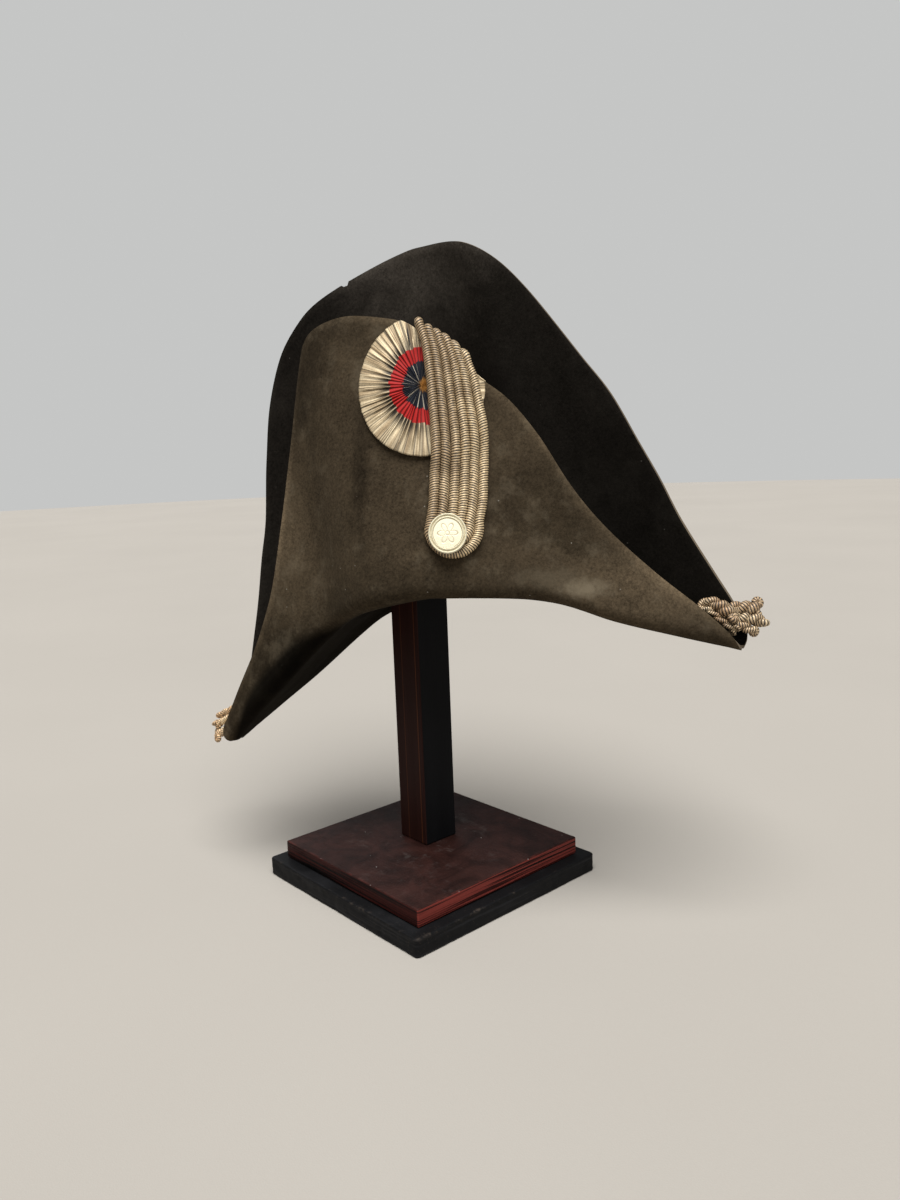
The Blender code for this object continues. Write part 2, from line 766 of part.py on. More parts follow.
def build_tassel(name, bullions, home, cutters, seat):
    """Bullion tassel as one solid of its outer form, lying in the end of a horn."""
    thread = material(f"{name} bullion", (0.55, 0.45, 0.30), 0.5, 0.3)
    tassel = place(bullion(name, bullions[0]), home, thread, seat)
    for index, rows in enumerate(bullions[1:]):
        lobe = place(bullion(f"{name} lobe {index + 1}", rows), cutters, thread, seat)
        lobe.hide_render = True
        lobe.display_type = "WIRE"
        union = tassel.modifiers.new(f"lobe {index + 1}", "BOOLEAN")
        union.operation = "UNION"
        union.object = lobe


def main():
    for obj in list(bpy.data.objects):
        bpy.data.objects.remove(obj, do_unlink=True)
    home = collection("bicorne on wooden stand")
    cutters = collection("cutters")
    turn, top, origin = hat_seat()
    seat = bpy.data.objects.new("hat seat", None)
    home.objects.link(seat)
    seat.location = origin
    seat.rotation_euler = turn.to_euler()
    build_stand(home, turn, top)
    build_felt(home, cutters, seat)
    build_cockade(home, seat)
    build_loops(home, seat)
    build_button(home, seat)
    build_tassel("tassel_left", LEFT_BULLIONS, home, cutters, seat)
    build_tassel("tassel_right", RIGHT_BULLIONS, home, cutters, seat)


main()
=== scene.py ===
"""A felt bicorne with a pleated cockade, bullion loops, a button and horn tassels, on a wooden stand.

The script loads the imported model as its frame, makes the looks of every piece, and sets up the stage. It is
laid out as an add-on and is run as a script. All lengths are in metres and all angles in degrees.
"""

import json
import math

import bmesh
import bpy
import numpy as np
from mathutils import Matrix, Vector, noise

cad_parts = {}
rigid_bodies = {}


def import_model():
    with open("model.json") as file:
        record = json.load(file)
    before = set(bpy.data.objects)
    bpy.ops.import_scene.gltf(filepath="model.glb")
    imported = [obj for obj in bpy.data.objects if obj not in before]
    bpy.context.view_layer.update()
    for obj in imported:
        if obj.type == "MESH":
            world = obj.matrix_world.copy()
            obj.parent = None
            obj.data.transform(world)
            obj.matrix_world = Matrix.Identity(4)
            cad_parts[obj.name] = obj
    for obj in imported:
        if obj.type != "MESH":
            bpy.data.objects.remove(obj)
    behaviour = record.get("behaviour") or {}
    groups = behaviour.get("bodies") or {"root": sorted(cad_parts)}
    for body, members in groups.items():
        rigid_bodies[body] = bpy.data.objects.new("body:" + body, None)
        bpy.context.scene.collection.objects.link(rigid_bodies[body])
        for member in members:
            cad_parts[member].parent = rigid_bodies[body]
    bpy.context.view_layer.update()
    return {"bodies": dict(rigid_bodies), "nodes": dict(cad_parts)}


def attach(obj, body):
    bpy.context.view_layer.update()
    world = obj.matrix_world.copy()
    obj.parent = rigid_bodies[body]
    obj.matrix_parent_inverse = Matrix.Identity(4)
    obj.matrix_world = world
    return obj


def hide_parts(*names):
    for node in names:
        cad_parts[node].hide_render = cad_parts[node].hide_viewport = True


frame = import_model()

bl_info = {
    "name": "Bicorne on a wooden stand",
    "version": (1, 0, 0),
    "blender": (4, 5, 0),
    "location": "View3D > Sidebar > Bicorne",
    "description": "Makes the felt, cockade, loops, button, tassels, stand and stage of a bicorne",
    "category": "Object",
}

BODY = next(iter(frame["bodies"]))

# Stand and post: the sizes of the frame, and the wear of the looks
POST_WIDTH = 0.038
POST_TOP = (-0.0045, 0.0090, 0.4045)
GLUE_WIDTH = 0.0007
BOARD_THICKNESS = 0.017
LOWER_BOARD_WIDTH = 0.225
UPPER_BOARD_WIDTH = 0.200
STAND_TURN = -29.3
BOARD_CORNER = 0.0045
BOARD_RIM = 0.0014
BOARD_CUTS = ((0, 80), (1, 80), (2, 7))
PLY_ROUGHNESS = 0.0007
CHIP_DEPTH = 0.0012
BOARD_WAVES = 0.0004
FIT_GAP = 0.0003
TRIM_GAP = 0.0005

# Hat as it sits on the post
HAT_ROLL = 12.6
HAT_PITCH = 3.8

# Felt
FELT = 0.0028
HALF_SPAN = 0.252
HEAD_HALF_WIDTH = 0.079
HEAD_HALF_DEPTH = 0.094
OPENING_SAG = 0.018
OPENING_SMOOTHING = 4
CROWN_HEIGHT = 0.118
BRIM_MARGIN = 0.0146
BRIM_DROP = 0.012
FOLD_RADIUS = 0.012
FOLD_SHARE = 0.6
HORN_DROP = 0.105
FRONT_FLAP_HEIGHT = 0.252
REAR_FLAP_HEIGHT = 0.326
FRONT_LEAN = 0.50
REAR_LEAN = 0.45
NICK_WIDTH = 0.0070
NICK_DEPTH = 0.0032
NICK_SPAN = -0.199
NICK_REACH = 0.012
FAR = 0.3
EDGE_EASE = 0.0006

# Trim on the front flap
COCKADE_RADIUS = 0.060
COCKADE_BREADTH = 0.91
COCKADE_THICKNESS = 0.0012
COCKADE_GAP = 0.0012
PLEAT_HEIGHT = 0.0009
COCKADE_PLACE = (0.1788, 0.6667)
COCKADE_SEAM = 84
COCKADE_CURL = 222
COCKADE_RINGS = 44
PLEAT_SEED = 11
PLEAT_STEPS = 12
PLEAT_TURN = 0.80
PLEAT_RISE = 0.0021
PLEAT_PRESSED = 0.0006
RIBBON_THICKNESS = 0.0006
CORD_DIAMETER = 0.0081
CORD_TAIL = 0.010
LOOP_FOOT_HEIGHT = 0.046
LOOP_TOP_SHARE = 0.80
LOOP_LEAN = 0.0020
CORD_PINCH = 0.84
CORD_RISE = 0.0036
CORD_LEAN = 0.0022
CORD_SWELL = 0.00022
CORD_UNEVEN = 0.00012
CORD_FRAY = 0.0003
CORD_EASE = 0.003
CORD_SIDES = 26
STRAND_STEPS = 90
BUTTON_DIAMETER = 0.0335
BUTTON_THICKNESS = 0.0045
BUTTON_PLACE = (-0.0062, -0.0062)
BUTTON_TURN = -12
BUTTON_BREADTH = 0.93
BUTTON_LIFT = 0.0012
BUTTON_STEPS = 144
ENGRAVING = 0.00022
ROSETTE_REACH = 0.72
ROSETTE_HEART = 0.10
BULLION_DIAMETER = 0.0095
BULLION_CURL = 0.0028
BULLION_TWIST = 0.017
BULLION_SWING = 0.42
BULLION_SHARE = 0.62
BULLION_EASE = 0.0018
BULLION_SIDES = 22
CURL_STEPS = 26
CURL_DRIFT = 0.0020

# Rings and unevenness of wound threads, and how near two points of a mesh are when they are one
THREAD_STEP = 0.00036
CORD_WAVE = 190
BULLION_WAVE = 520
COARSE_MERGE = 0.00002
BUTTON_MERGE = 0.00001
FINE_MERGE = 0.000002

# Places along a curve, from 0 to 1
CURVE = np.linspace(0, 1, 241)
SCAN = np.linspace(0, 1, 801)

# Colours of small marks, and of the painted shade between the cockade's pleats and under its tucked ribbon
# end
LINT = (0.30, 0.28, 0.24)
BOARD_DUST = (0.30, 0.27, 0.25)
BOARD_SPECKS = (0.55, 0.53, 0.50)
GATHER_SHADE = (0.010, 0.009, 0.009)
PALE_RAY = (0.50, 0.44, 0.34)
GILT = (0.46, 0.21, 0.04)
TAN_TUCK = (0.15, 0.105, 0.060)
TUCK_SHADOW = (0.012, 0.010, 0.008)
SKY = (0.98, 0.99, 1.0)
FELT_SHEEN = (0.80, 0.66, 0.48)

# Stage and camera
FLOOR_RADIUS = 8.0
LAMP_ANGLE = 45
KEY_FROM = (0.20, -0.55, 1.45)
FRONT_FROM = (1.2, -1.8, 0.55)
BACK_FROM = (-1.7, 1.3, 0.85)
CAMERA_PLACE = (0.3050, -0.7995, 0.4103)
CAMERA_TURN = 19
CAMERA_TILT = 9.42
CAMERA_ROLL = -2.12
CAMERA_LENS = 27.9
CAMERA_SENSOR = 36.0

# Plan of the folded brim: share of HALF_SPAN, share of the half depth at the middle.
PLAN = (
    (-0.08, 0.981), (0.00, 1.000), (0.08, 0.981), (0.16, 0.912), (0.23, 0.800), (0.28, 0.697), (0.325, 0.607),
    (0.37, 0.548), (0.44, 0.516), (0.55, 0.478), (0.70, 0.396), (0.85, 0.281), (1.00, 0.129),
)

# Drop of the fold line: share of HALF_SPAN, share of HORN_DROP.
FOLD_LINE = (
    (-1.00, 1.000), (-0.82, 0.757), (-0.66, 0.551), (-0.47, 0.290), (-0.33, 0.130), (-0.17, 0.047),
    (0.05, 0.037), (0.15, 0.075), (0.30, 0.178), (0.47, 0.327), (0.62, 0.542), (0.79, 0.748), (1.00, 1.000),
)

# Edges of the flaps: share of HALF_SPAN, share of the flap's height above the fold line.
FRONT_EDGE = (
    (-0.990, 0.000), (-1.022, 0.000), (-1.030, 0.040), (-1.002, 0.085), (-0.930, 0.112), (-0.780, 0.175),
    (-0.682, 0.238), (-0.580, 0.345), (-0.461, 0.560), (-0.358, 0.775), (-0.286, 0.912), (-0.241, 0.978),
    (-0.180, 1.000), (-0.048, 0.992), (0.084, 0.950), (0.160, 0.928), (0.215, 0.880), (0.265, 0.837),
    (0.310, 0.790), (0.360, 0.745), (0.434, 0.684), (0.510, 0.575), (0.577, 0.437), (0.657, 0.325),
    (0.780, 0.205), (0.890, 0.118), (0.962, 0.046), (0.984, 0.000), (0.975, 0.000),
)
REAR_EDGE = (
    (-0.990, 0.000), (-1.005, 0.000), (-0.980, 0.080), (-0.917, 0.200), (-0.850, 0.316), (-0.787, 0.433),
    (-0.730, 0.530), (-0.666, 0.680), (-0.595, 0.810), (-0.500, 0.900), (-0.370, 0.942), (-0.217, 0.972),
    (-0.045, 0.997), (0.130, 1.009), (0.266, 1.009), (0.350, 0.990), (0.432, 0.948), (0.510, 0.882),
    (0.587, 0.800), (0.657, 0.715), (0.726, 0.629), (0.785, 0.506), (0.829, 0.414), (0.870, 0.310),
    (0.941, 0.185), (0.985, 0.110), (1.008, 0.045), (0.989, 0.000), (0.975, 0.000),
)

# Crown wall from the top down: share of the opening's half axes, share of CROWN_HEIGHT.
CROWN_PROFILE = (
    (0.000, 1.00), (0.190, 0.995), (0.380, 0.98), (0.580, 0.92), (0.740, 0.81), (0.850, 0.66), (0.920, 0.48),
    (0.960, 0.30), (0.985, 0.14), (1.000, 0.00),
)

# Middle line of the bullion loops: share of HALF_SPAN, share of FRONT_FLAP_HEIGHT.
LOOP_LINE = ((0.203, 0.18), (0.227, 0.27), (0.251, 0.43), (0.262, 0.60), (0.268, 0.83))

# Section of the button from its middle: share of its radius, share of BUTTON_THICKNESS.
BUTTON_PROFILE = (
    (0.00, 0.80), (0.74, 0.74), (0.765, 0.78), (0.785, 0.90), (0.805, 0.90), (0.825, 0.78), (0.85, 0.68),
    (0.90, 0.68), (0.92, 0.86), (0.95, 0.93), (0.98, 0.86), (1.00, 0.60), (0.99, 0.25), (0.95, 0.04),
    (0.88, 0.00), (0.00, 0.00),
)

# Dirt in the rings of the button: the ring's inner and outer share of the radius, and the dirt's strength.
BUTTON_DIRT = ((0.83, 0.91, 0.7), (0.74, 0.77, 0.8))

# Bullions of the tassels from their roots: share of HALF_SPAN, share of the room across the horn, height over
# the channel's floor in BULLION_DIAMETER, share of BULLION_DIAMETER.
LEFT_BULLIONS = (
    ((-0.80, 0.0, 0.0, 0.9), (-0.86, 0.0, 0.4, 1.1), (-0.91, 0.0, 1.0, 1.3), (-0.97, 0.0, 1.4, 1.0)),
    ((-0.93, 0.1, 1.5, 0.9), (-1.00, 0.2, 1.8, 0.85), (-1.05, 0.3, 1.5, 0.75), (-1.10, 0.3, 1.1, 0.80)),
    ((-0.93, -0.2, 1.2, 0.9), (-1.01, -0.3, 1.0, 0.80), (-1.06, -0.2, 0.4, 0.80), (-1.10, 0.0, 0.0, 1.0)),
    ((-0.93, 0.3, 1.5, 0.9), (-0.99, 0.6, 2.4, 0.85), (-1.04, 0.7, 2.3, 0.75), (-1.08, 0.7, 2.0, 0.80)),
)
RIGHT_BULLIONS = (
    ((0.78, 0.0, 0.0, 0.9), (0.84, 0.0, 0.5, 1.2), (0.90, 0.0, 1.2, 1.3), (0.96, 0.0, 1.7, 1.1)),
    ((0.875, -0.2, 2.0, 0.7), (0.912, -0.3, 2.9, 0.9), (0.950, -0.4, 2.6, 1.3), (0.985, -0.5, 2.2, 1.1)),
    ((0.87, -0.4, 2.0, 0.5), (0.908, -0.5, 2.1, 0.60), (0.938, -0.6, 1.5, 0.65), (0.975, -0.7, 0.8, 0.65)),
    ((0.93, 0.1, 1.9, 0.9), (0.985, 0.2, 2.9, 1.05), (1.025, 0.5, 2.85, 1.25), (1.055, 0.8, 2.55, 1.35)),
    ((0.94, 0.0, 1.6, 0.9), (0.985, 0.1, 2.0, 1.05), (1.030, 0.3, 1.9, 1.2), (1.066, 0.5, 1.3, 1.15)),
    ((0.95, -0.1, 1.3, 0.8), (0.990, -0.2, 1.5, 0.9), (1.015, -0.1, 1.1, 0.9), (1.033, 0.0, 0.7, 0.85)),
)

# Marks on the felt's outside, partly painted light and painted shade where the lamps fall unevenly, partly
# fading and stains: the middle, the reach along each axis and the change of lightness.
FELT_MARKS_AND_SHADE = (
    ((-0.019, -0.070, 0.385), (0.014, 0.05, 0.070), -0.48),
    ((-0.012, -0.088, 0.330), (0.012, 0.05, 0.030), -0.25),
    ((0.029, -0.094, 0.323), (0.012, 0.03, 0.009), 0.28),
    ((0.120, -0.060, 0.330), (0.060, 0.06, 0.030), 0.12),
    ((-0.230, -0.030, 0.200), (0.120, 0.14, 0.110), -0.45),
    ((-0.120, -0.030, 0.510), (0.090, 0.14, 0.130), -0.68),
    ((-0.045, -0.050, 0.510), (0.060, 0.08, 0.050), -0.30),
    ((-0.125, -0.060, 0.345), (0.060, 0.08, 0.075), 0.75),
    ((-0.130, -0.050, 0.215), (0.080, 0.10, 0.060), -0.48),
    ((0.112, -0.070, 0.365), (0.080, 0.08, 0.065), -0.30),
    ((0.155, -0.055, 0.345), (0.070, 0.08, 0.040), -0.32),
    ((0.205, -0.040, 0.280), (0.095, 0.10, 0.045), 1.00),
    ((-0.115, 0.028, 0.198), (0.130, 0.05, 0.045), -0.90),
)

# The same on the felt's inside, where painted light makes the top of the rear flap lighter.
INSIDE_MARKS_AND_SHADE = (
    ((-0.120, -0.030, 0.510), (0.090, 0.14, 0.130), -0.68),
    ((-0.010, 0.090, 0.600), (0.160, 0.10, 0.095), 6.00),
    ((0.000, 0.090, 0.500), (0.120, 0.10, 0.100), 1.00),
    ((0.200, 0.030, 0.380), (0.100, 0.10, 0.120), -0.75),
)

# Dust on the felt: the middle, the reach along each axis and how thick it lies.
FELT_DUST = (
    ((0.166, -0.046, 0.291), (0.028, 0.05, 0.013), 0.80),
    ((0.135, -0.058, 0.300), (0.045, 0.05, 0.014), 0.26),
)


def spline(rows, shares):
    """Points of a smooth curve through the rows, at shares of the way along them."""
    rows = np.array(rows, dtype=float)
    padded = np.vstack((2 * rows[0] - rows[1], rows, 2 * rows[-1] - rows[-2]))
    place = np.clip(np.asarray(shares, dtype=float), 0.0, 1.0) * (len(rows) - 1)
    index = np.minimum(place.astype(int), len(rows) - 2)
    t = (place - index)[..., None]
    a, b, c, d = (padded[index + step] for step in range(4))
    return b + 0.5 * t * (c - a + t * (2 * a - 5 * b + 4 * c - d + t * (3 * (b - c) + d - a)))


def ramp(value, low, high):
    """Smooth step from 0 at low to 1 at high."""
    share = np.clip((value - low) / (high - low), 0.0, 1.0)
    return share * share * (3 - 2 * share)


def unit(vectors):
    """The same directions with the length 1."""
    return vectors / np.linalg.norm(vectors, axis=-1, keepdims=True)


def lengths_along(route):
    """Distance of each point of a route from its start."""
    return np.concatenate(([0.0], np.cumsum(np.linalg.norm(np.diff(route, axis=0), axis=1))))


PLAN_SPANS, PLAN_DEPTHS = spline(PLAN, CURVE).T
FOLD_SPANS, FOLD_DROPS = spline(FOLD_LINE, CURVE).T
FRONT_SPANS, FRONT_HEIGHTS = spline(FRONT_EDGE, CURVE).T
LOOP_SPANS, LOOP_HEIGHTS = spline(LOOP_LINE, CURVE[::4]).T


def half_depth(x):
    """Half the brim's depth at the fold."""
    return np.interp(np.abs(x) / HALF_SPAN, PLAN_SPANS, PLAN_DEPTHS) * (HEAD_HALF_DEPTH + BRIM_MARGIN)


def fold_radius(x):
    """Radius of the fold, smaller in the narrow ends of the horns."""
    return np.minimum(FOLD_RADIUS, FOLD_SHARE * half_depth(x))


def fold_height(x):
    """Height of the fold line in the hat's frame."""
    return -BRIM_DROP - HORN_DROP * np.interp(x / HALF_SPAN, FOLD_SPANS, FOLD_DROPS)


def dents(x, height):
    """The slow waves of old felt, from -1 to 1."""
    waves = 0.45 * np.sin(31 * x + 17 * height + 1.3) + 0.3 * np.sin(57 * x - 44 * height + 0.4)
    return waves + 0.25 * np.sin(13 * x + 71 * height + 2.2) * np.cos(83 * x + 5.0)


class Flap:
    """One turned-up side of the brim. Side is -1 for the front and +1 for the rear."""

    def __init__(self, side, height, lean, edge, nick):
        self.side = side
        self.height = height
        self.lean = lean
        self.edge = edge
        self.nick = nick
        self.relief = 0.0

    def girth_at(self, x, height):
        """Girth from the keel line, round the fold, to a height above the fold line."""
        radius = fold_radius(x)
        flat = half_depth(x) - radius
        turn = np.arccos(np.clip(1 - np.maximum(height, 0.0) / radius, -1.0, 1.0))
        on_fold = flat + radius * turn
        return np.where(height < radius, on_fold, flat + radius * (math.pi / 2 - 1) + height)

    def point_at(self, x, girth):
        """Point of the felt's middle surface at a girth from the keel line."""
        half = half_depth(x)
        radius = fold_radius(x)
        flat = half - radius
        turn = np.clip((girth - flat) / radius, 0.0, math.pi / 2)
        height = radius + girth - flat - radius * math.pi / 2
        wall = half * (1 - self.lean * (height - radius) / self.height)
        wall = wall + self.relief * dents(x, height) * ramp(height, radius, radius + 0.04)
        on_wall = height > radius
        depth = np.where(on_wall, wall, flat + radius * np.sin(turn))
        depth = np.where(girth <= flat, girth, depth)
        rise = np.where(on_wall, height, radius * (1 - np.cos(turn)))
        return np.stack((x + 0.0 * depth, self.side * depth, fold_height(x) + rise), -1)

    def ribs(self, shares, under_rows, fold_rows, wall_rows):
        """Points of the felt from the crown's top to the flap's edge, a column for each share of the edge.

        With them come the distances from the edge and from the fold. FAR is the crown's.
        """
        angle = np.radians(180 * shares - 90)
        sag = -OPENING_SAG * np.sin(angle) ** 2
        reach, rise = spline(CROWN_PROFILE, np.linspace(0, 1, 28)[:-1]).T
        crown = np.stack(
            (
                np.outer(np.sin(angle), HEAD_HALF_WIDTH * reach),
                self.side * np.outer(np.cos(angle), HEAD_HALF_DEPTH * reach),
                np.outer(sag, 1 - rise) + CROWN_HEIGHT * rise,
            ),
            -1,
        )
        span, height = spline(self.edge, shares).T
        start_x = HEAD_HALF_WIDTH * np.sin(angle)
        start_girth = HEAD_HALF_DEPTH * np.cos(angle)
        end_x = span * HALF_SPAN
        steps = len(self.edge) - 1
        end_girth = self.girth_at(end_x, height * self.height)
        end_girth *= np.minimum(1.0, np.minimum(steps * shares, steps * (1 - shares)))
        if self.nick:
            away = np.abs(end_x - NICK_SPAN * HALF_SPAN) / (NICK_WIDTH / 2)
            end_girth -= NICK_DEPTH * (1 - ramp(away, 0.25, 1.1)) * (1 + 0.25 * np.sin(900 * end_x))

        def at(t):
            x = start_x[:, None] + (end_x - start_x)[:, None] * t
            return x, start_girth[:, None] + (end_girth - start_girth)[:, None] * t

        x, girth = at(SCAN)
        radius = fold_radius(x)
        flat = half_depth(x) - radius
        fold_start = SCAN[np.argmax((girth >= flat) | (SCAN >= 0.80), axis=1)]
        fold_end = SCAN[np.argmax((girth >= flat + radius * math.pi / 2) | (SCAN >= 0.90), axis=1)]
        fold_end = np.maximum(fold_end, fold_start + 0.02)
        under = np.linspace(0, 1, under_rows + 1)[:-1] * fold_start[:, None]
        fold = fold_start[:, None] + np.linspace(0, 1, fold_rows + 1)[:-1] * (fold_end - fold_start)[:, None]
        wall = fold_end[:, None] + np.linspace(0, 1, wall_rows + 1) * (1 - fold_end)[:, None]
        stations = np.hstack((under, fold, wall))
        x, girth = at(stations)
        brim = self.point_at(x, girth)
        drop = sag - fold_height(start_x)
        brim[..., 2] += drop[:, None] * np.maximum(0.0, 1 - stations / fold_start[:, None]) ** 2
        middle = half_depth(x) + fold_radius(x) * (math.pi / 4 - 1)
        from_edge = (1 - stations) * np.hypot(end_x - start_x, end_girth - start_girth)[:, None]
        far = np.full(crown.shape[:2], FAR)
        return (
            np.concatenate((crown, brim), axis=1),
            np.hstack((far, from_edge)),
            np.hstack((-far, girth - middle)),
        )


FRONT = Flap(-1, FRONT_FLAP_HEIGHT, FRONT_LEAN, FRONT_EDGE, False)
REAR = Flap(1, REAR_FLAP_HEIGHT, REAR_LEAN, REAR_EDGE, True)


def front_edge_height(x):
    """Height of the front flap's edge above the middle of the fold line."""
    height = np.interp(x / HALF_SPAN, np.maximum.accumulate(FRONT_SPANS), FRONT_HEIGHTS) * FRONT_FLAP_HEIGHT
    return height + fold_height(x) + BRIM_DROP


def front_middle(x, height):
    """Point of the front flap's middle surface, at a height over the middle of the fold line."""
    return FRONT.point_at(x, FRONT.girth_at(x, height - BRIM_DROP - fold_height(x)))


def front_normal(x, height):
    """Outward direction of the front flap."""
    step = 0.002
    across = front_middle(x + step, height) - front_middle(x - step, height)
    upward = front_middle(x, height + step) - front_middle(x, height - step)
    return unit(np.cross(across, upward))


def on_front(x, height, proud):
    """Point in front of the front flap, proud of the felt's middle surface."""
    return front_middle(x, height) + front_normal(x, height) * np.asarray(proud)[..., None]


def beside(x, height, reach, proud):
    """X at a distance along the front flap from another X, measured where a piece lies proud of the felt."""
    reach, x, height, proud = np.broadcast_arrays(reach, x, height, proud)
    left = np.abs(reach)
    here = on_front(x, height, proud)
    while (left > 0).any():
        step = np.copysign(0.002, reach)
        there = on_front(x + step, height, proud)
        length = np.linalg.norm(there - here, axis=-1)
        x = x + step * np.clip(left / length, 0.0, 1.0)
        here = np.where((left > 0)[..., None], there, here)
        left = left - length
    return x


def hat_seat():
    """Rotation and origin of the hat on the post's sawn top."""
    roll, pitch = math.radians(HAT_ROLL), math.radians(HAT_PITCH)
    turn = Matrix.Rotation(-roll, 3, "Y") @ Matrix.Rotation(-pitch, 3, "X")
    normal = turn @ Vector((0.0, 0.0, 1.0))
    reaches, rises = np.array(CROWN_PROFILE).T
    heights = []
    for quarter in range(4):
        angle = math.radians(STAND_TURN + 45 + 90 * quarter)
        x = POST_WIDTH / math.sqrt(2) * math.cos(angle)
        y = POST_WIDTH / math.sqrt(2) * math.sin(angle)
        corner = turn.inverted() @ Vector((x, y, -(normal.x * x + normal.y * y) / normal.z))
        reach = math.hypot(corner.x / HEAD_HALF_WIDTH, corner.y / HEAD_HALF_DEPTH)
        heights.append(CROWN_HEIGHT * float(np.interp(reach, reaches, rises)))
    seat = min(heights) - FELT / 2 - 2 * FIT_GAP
    return np.array(turn), np.array(Vector(POST_TOP) - turn @ Vector((0.0, 0.0, seat)))


HAT_TURN, HAT_ORIGIN = hat_seat()


def in_world(points):
    """Points of the hat's frame, in the row frame."""
    return np.asarray(points) @ HAT_TURN.T + HAT_ORIGIN


def cockade_base():
    """How far the cockade's middle surface stands proud of the felt's middle surface."""
    return FELT / 2 + COCKADE_GAP + COCKADE_THICKNESS / 2 + PLEAT_HEIGHT


COCKADE_X = COCKADE_PLACE[0] * HALF_SPAN
COCKADE_HEIGHT = COCKADE_PLACE[1] * FRONT_FLAP_HEIGHT


def loop_share(height):
    """Thickness and spacing of the cords at a height, as a share of those at the foot."""
    return 1 - (1 - LOOP_TOP_SHARE) * ramp(height / FRONT_FLAP_HEIGHT, 0.36, 0.80)


def cord_proud(x, height):
    """Height of a cord's axis over the felt's middle surface: on the felt, or raised over the cockade."""
    on_felt = FELT / 2 + TRIM_GAP + CORD_DIAMETER / 2 * loop_share(height)
    lift = cockade_base() + PLEAT_HEIGHT + COCKADE_THICKNESS / 2 - FELT / 2
    middle = on_front(COCKADE_X, COCKADE_HEIGHT, cockade_base())
    distance = np.linalg.norm(front_middle(x, height) - middle, axis=-1)
    reach = 2.5 * CORD_DIAMETER
    return on_felt + lift * (1 - ramp(distance, COCKADE_RADIUS, COCKADE_RADIUS + reach))


def loop_x(height):
    """X of the loops' middle line at a height."""
    return np.interp(height / FRONT_FLAP_HEIGHT, LOOP_HEIGHTS, LOOP_SPANS) * HALF_SPAN


def strand_points(heights, reach, lean=0.0):
    """Points on the axis of a strand, at a reach from the loops' middle line, and their X on the felt."""
    middle = loop_x(heights) - lean
    x = beside(middle, heights, reach * loop_share(heights), cord_proud(middle, heights))
    return on_front(x, heights, cord_proud(x, heights)), x


def strand(reach):
    """Route and sizes of one strand: from the foot up the front, over the flap's edge and down behind."""
    top = np.array([FRONT_FLAP_HEIGHT * 0.8])
    margin = CORD_DIAMETER / 2 * LOOP_TOP_SHARE + TRIM_GAP
    # The strand's place and the edge's height there depend on each other, so they are found in rounds
    for _ in range(12):
        x = strand_points(top, reach, LOOP_LEAN)[1]
        top = np.max([front_edge_height(x + side) for side in (-margin, 0.0, margin)], axis=0)
    heights = np.linspace(LOOP_FOOT_HEIGHT, float(top[0]), STRAND_STEPS)
    route = list(strand_points(heights, reach, LOOP_LEAN * ramp(heights, top[0] - 0.020, top[0]))[0])
    sizes = list(loop_share(heights))
    top_size = sizes[-1]
    edge = front_middle(x, top)[0]
    normal = front_normal(x, top)[0]
    upward = unit(edge - front_middle(x, top - 0.002)[0])
    uphill = unit(front_middle(x - 0.006, front_edge_height(x - 0.006))[0] - edge)
    behind = FELT / 2 + TRIM_GAP + CORD_DIAMETER / 2 * top_size
    ahead = float(cord_proud(x, top)[0])
    slack = float(ramp(reach, -0.022, 0.006))
    for degrees in range(8, 176, 8):
        turn = math.radians(degrees)
        out = ahead + (behind - ahead) * float(ramp(degrees, 60, 120))
        rise = (behind - FELT / 2 + CORD_RISE * slack) * math.sin(turn)
        lean = uphill * CORD_LEAN * slack * float(ramp(degrees, 0, 90))
        route.append(edge + normal * out * math.cos(turn) + upward * rise + lean)
        sizes.append(top_size * (1 - (1 - CORD_PINCH) * float(ramp(degrees, 80, 125))))
    for drop in np.linspace(0, 1, 9):
        route.append(edge + lean - normal * behind - upward * CORD_TAIL * drop)
        sizes.append(top_size * CORD_PINCH)
    return route, sizes


def loop_route(reach):
    """One U-shaped cord: up the left strand and the right one, with the foot's half circle between them."""
    turns = np.linspace(0, math.pi, 26)[1:-1]
    heights = LOOP_FOOT_HEIGHT - reach * np.sin(turns)
    middle = loop_x(LOOP_FOOT_HEIGHT)
    x = beside(middle, heights, -reach * np.cos(turns), cord_proud(np.full_like(heights, middle), heights))
    foot = on_front(x, heights, cord_proud(x, heights))
    left, left_sizes = strand(-reach)
    right, right_sizes = strand(reach)
    sizes = left_sizes[::-1] + [1.0] * len(foot) + right_sizes
    return np.array(left[::-1] + list(foot) + right), sizes


def bullion_route(rows):
    """Axis and sizes of one bullion of a tassel, laid in the horn's channel."""
    along, across, lift, size = spline(rows, np.linspace(0, 1, 40)).T
    x = along * HALF_SPAN
    thick = FELT / 2 + FIT_GAP + BULLION_DIAMETER / 2
    room = half_depth(x) - thick
    steepness = (fold_height(x + 0.005) - fold_height(x - 0.005)) / 0.010
    floor = fold_height(x) + thick * np.hypot(1.0, steepness)
    return np.stack((x, across * room, floor + lift * BULLION_DIAMETER), -1), size


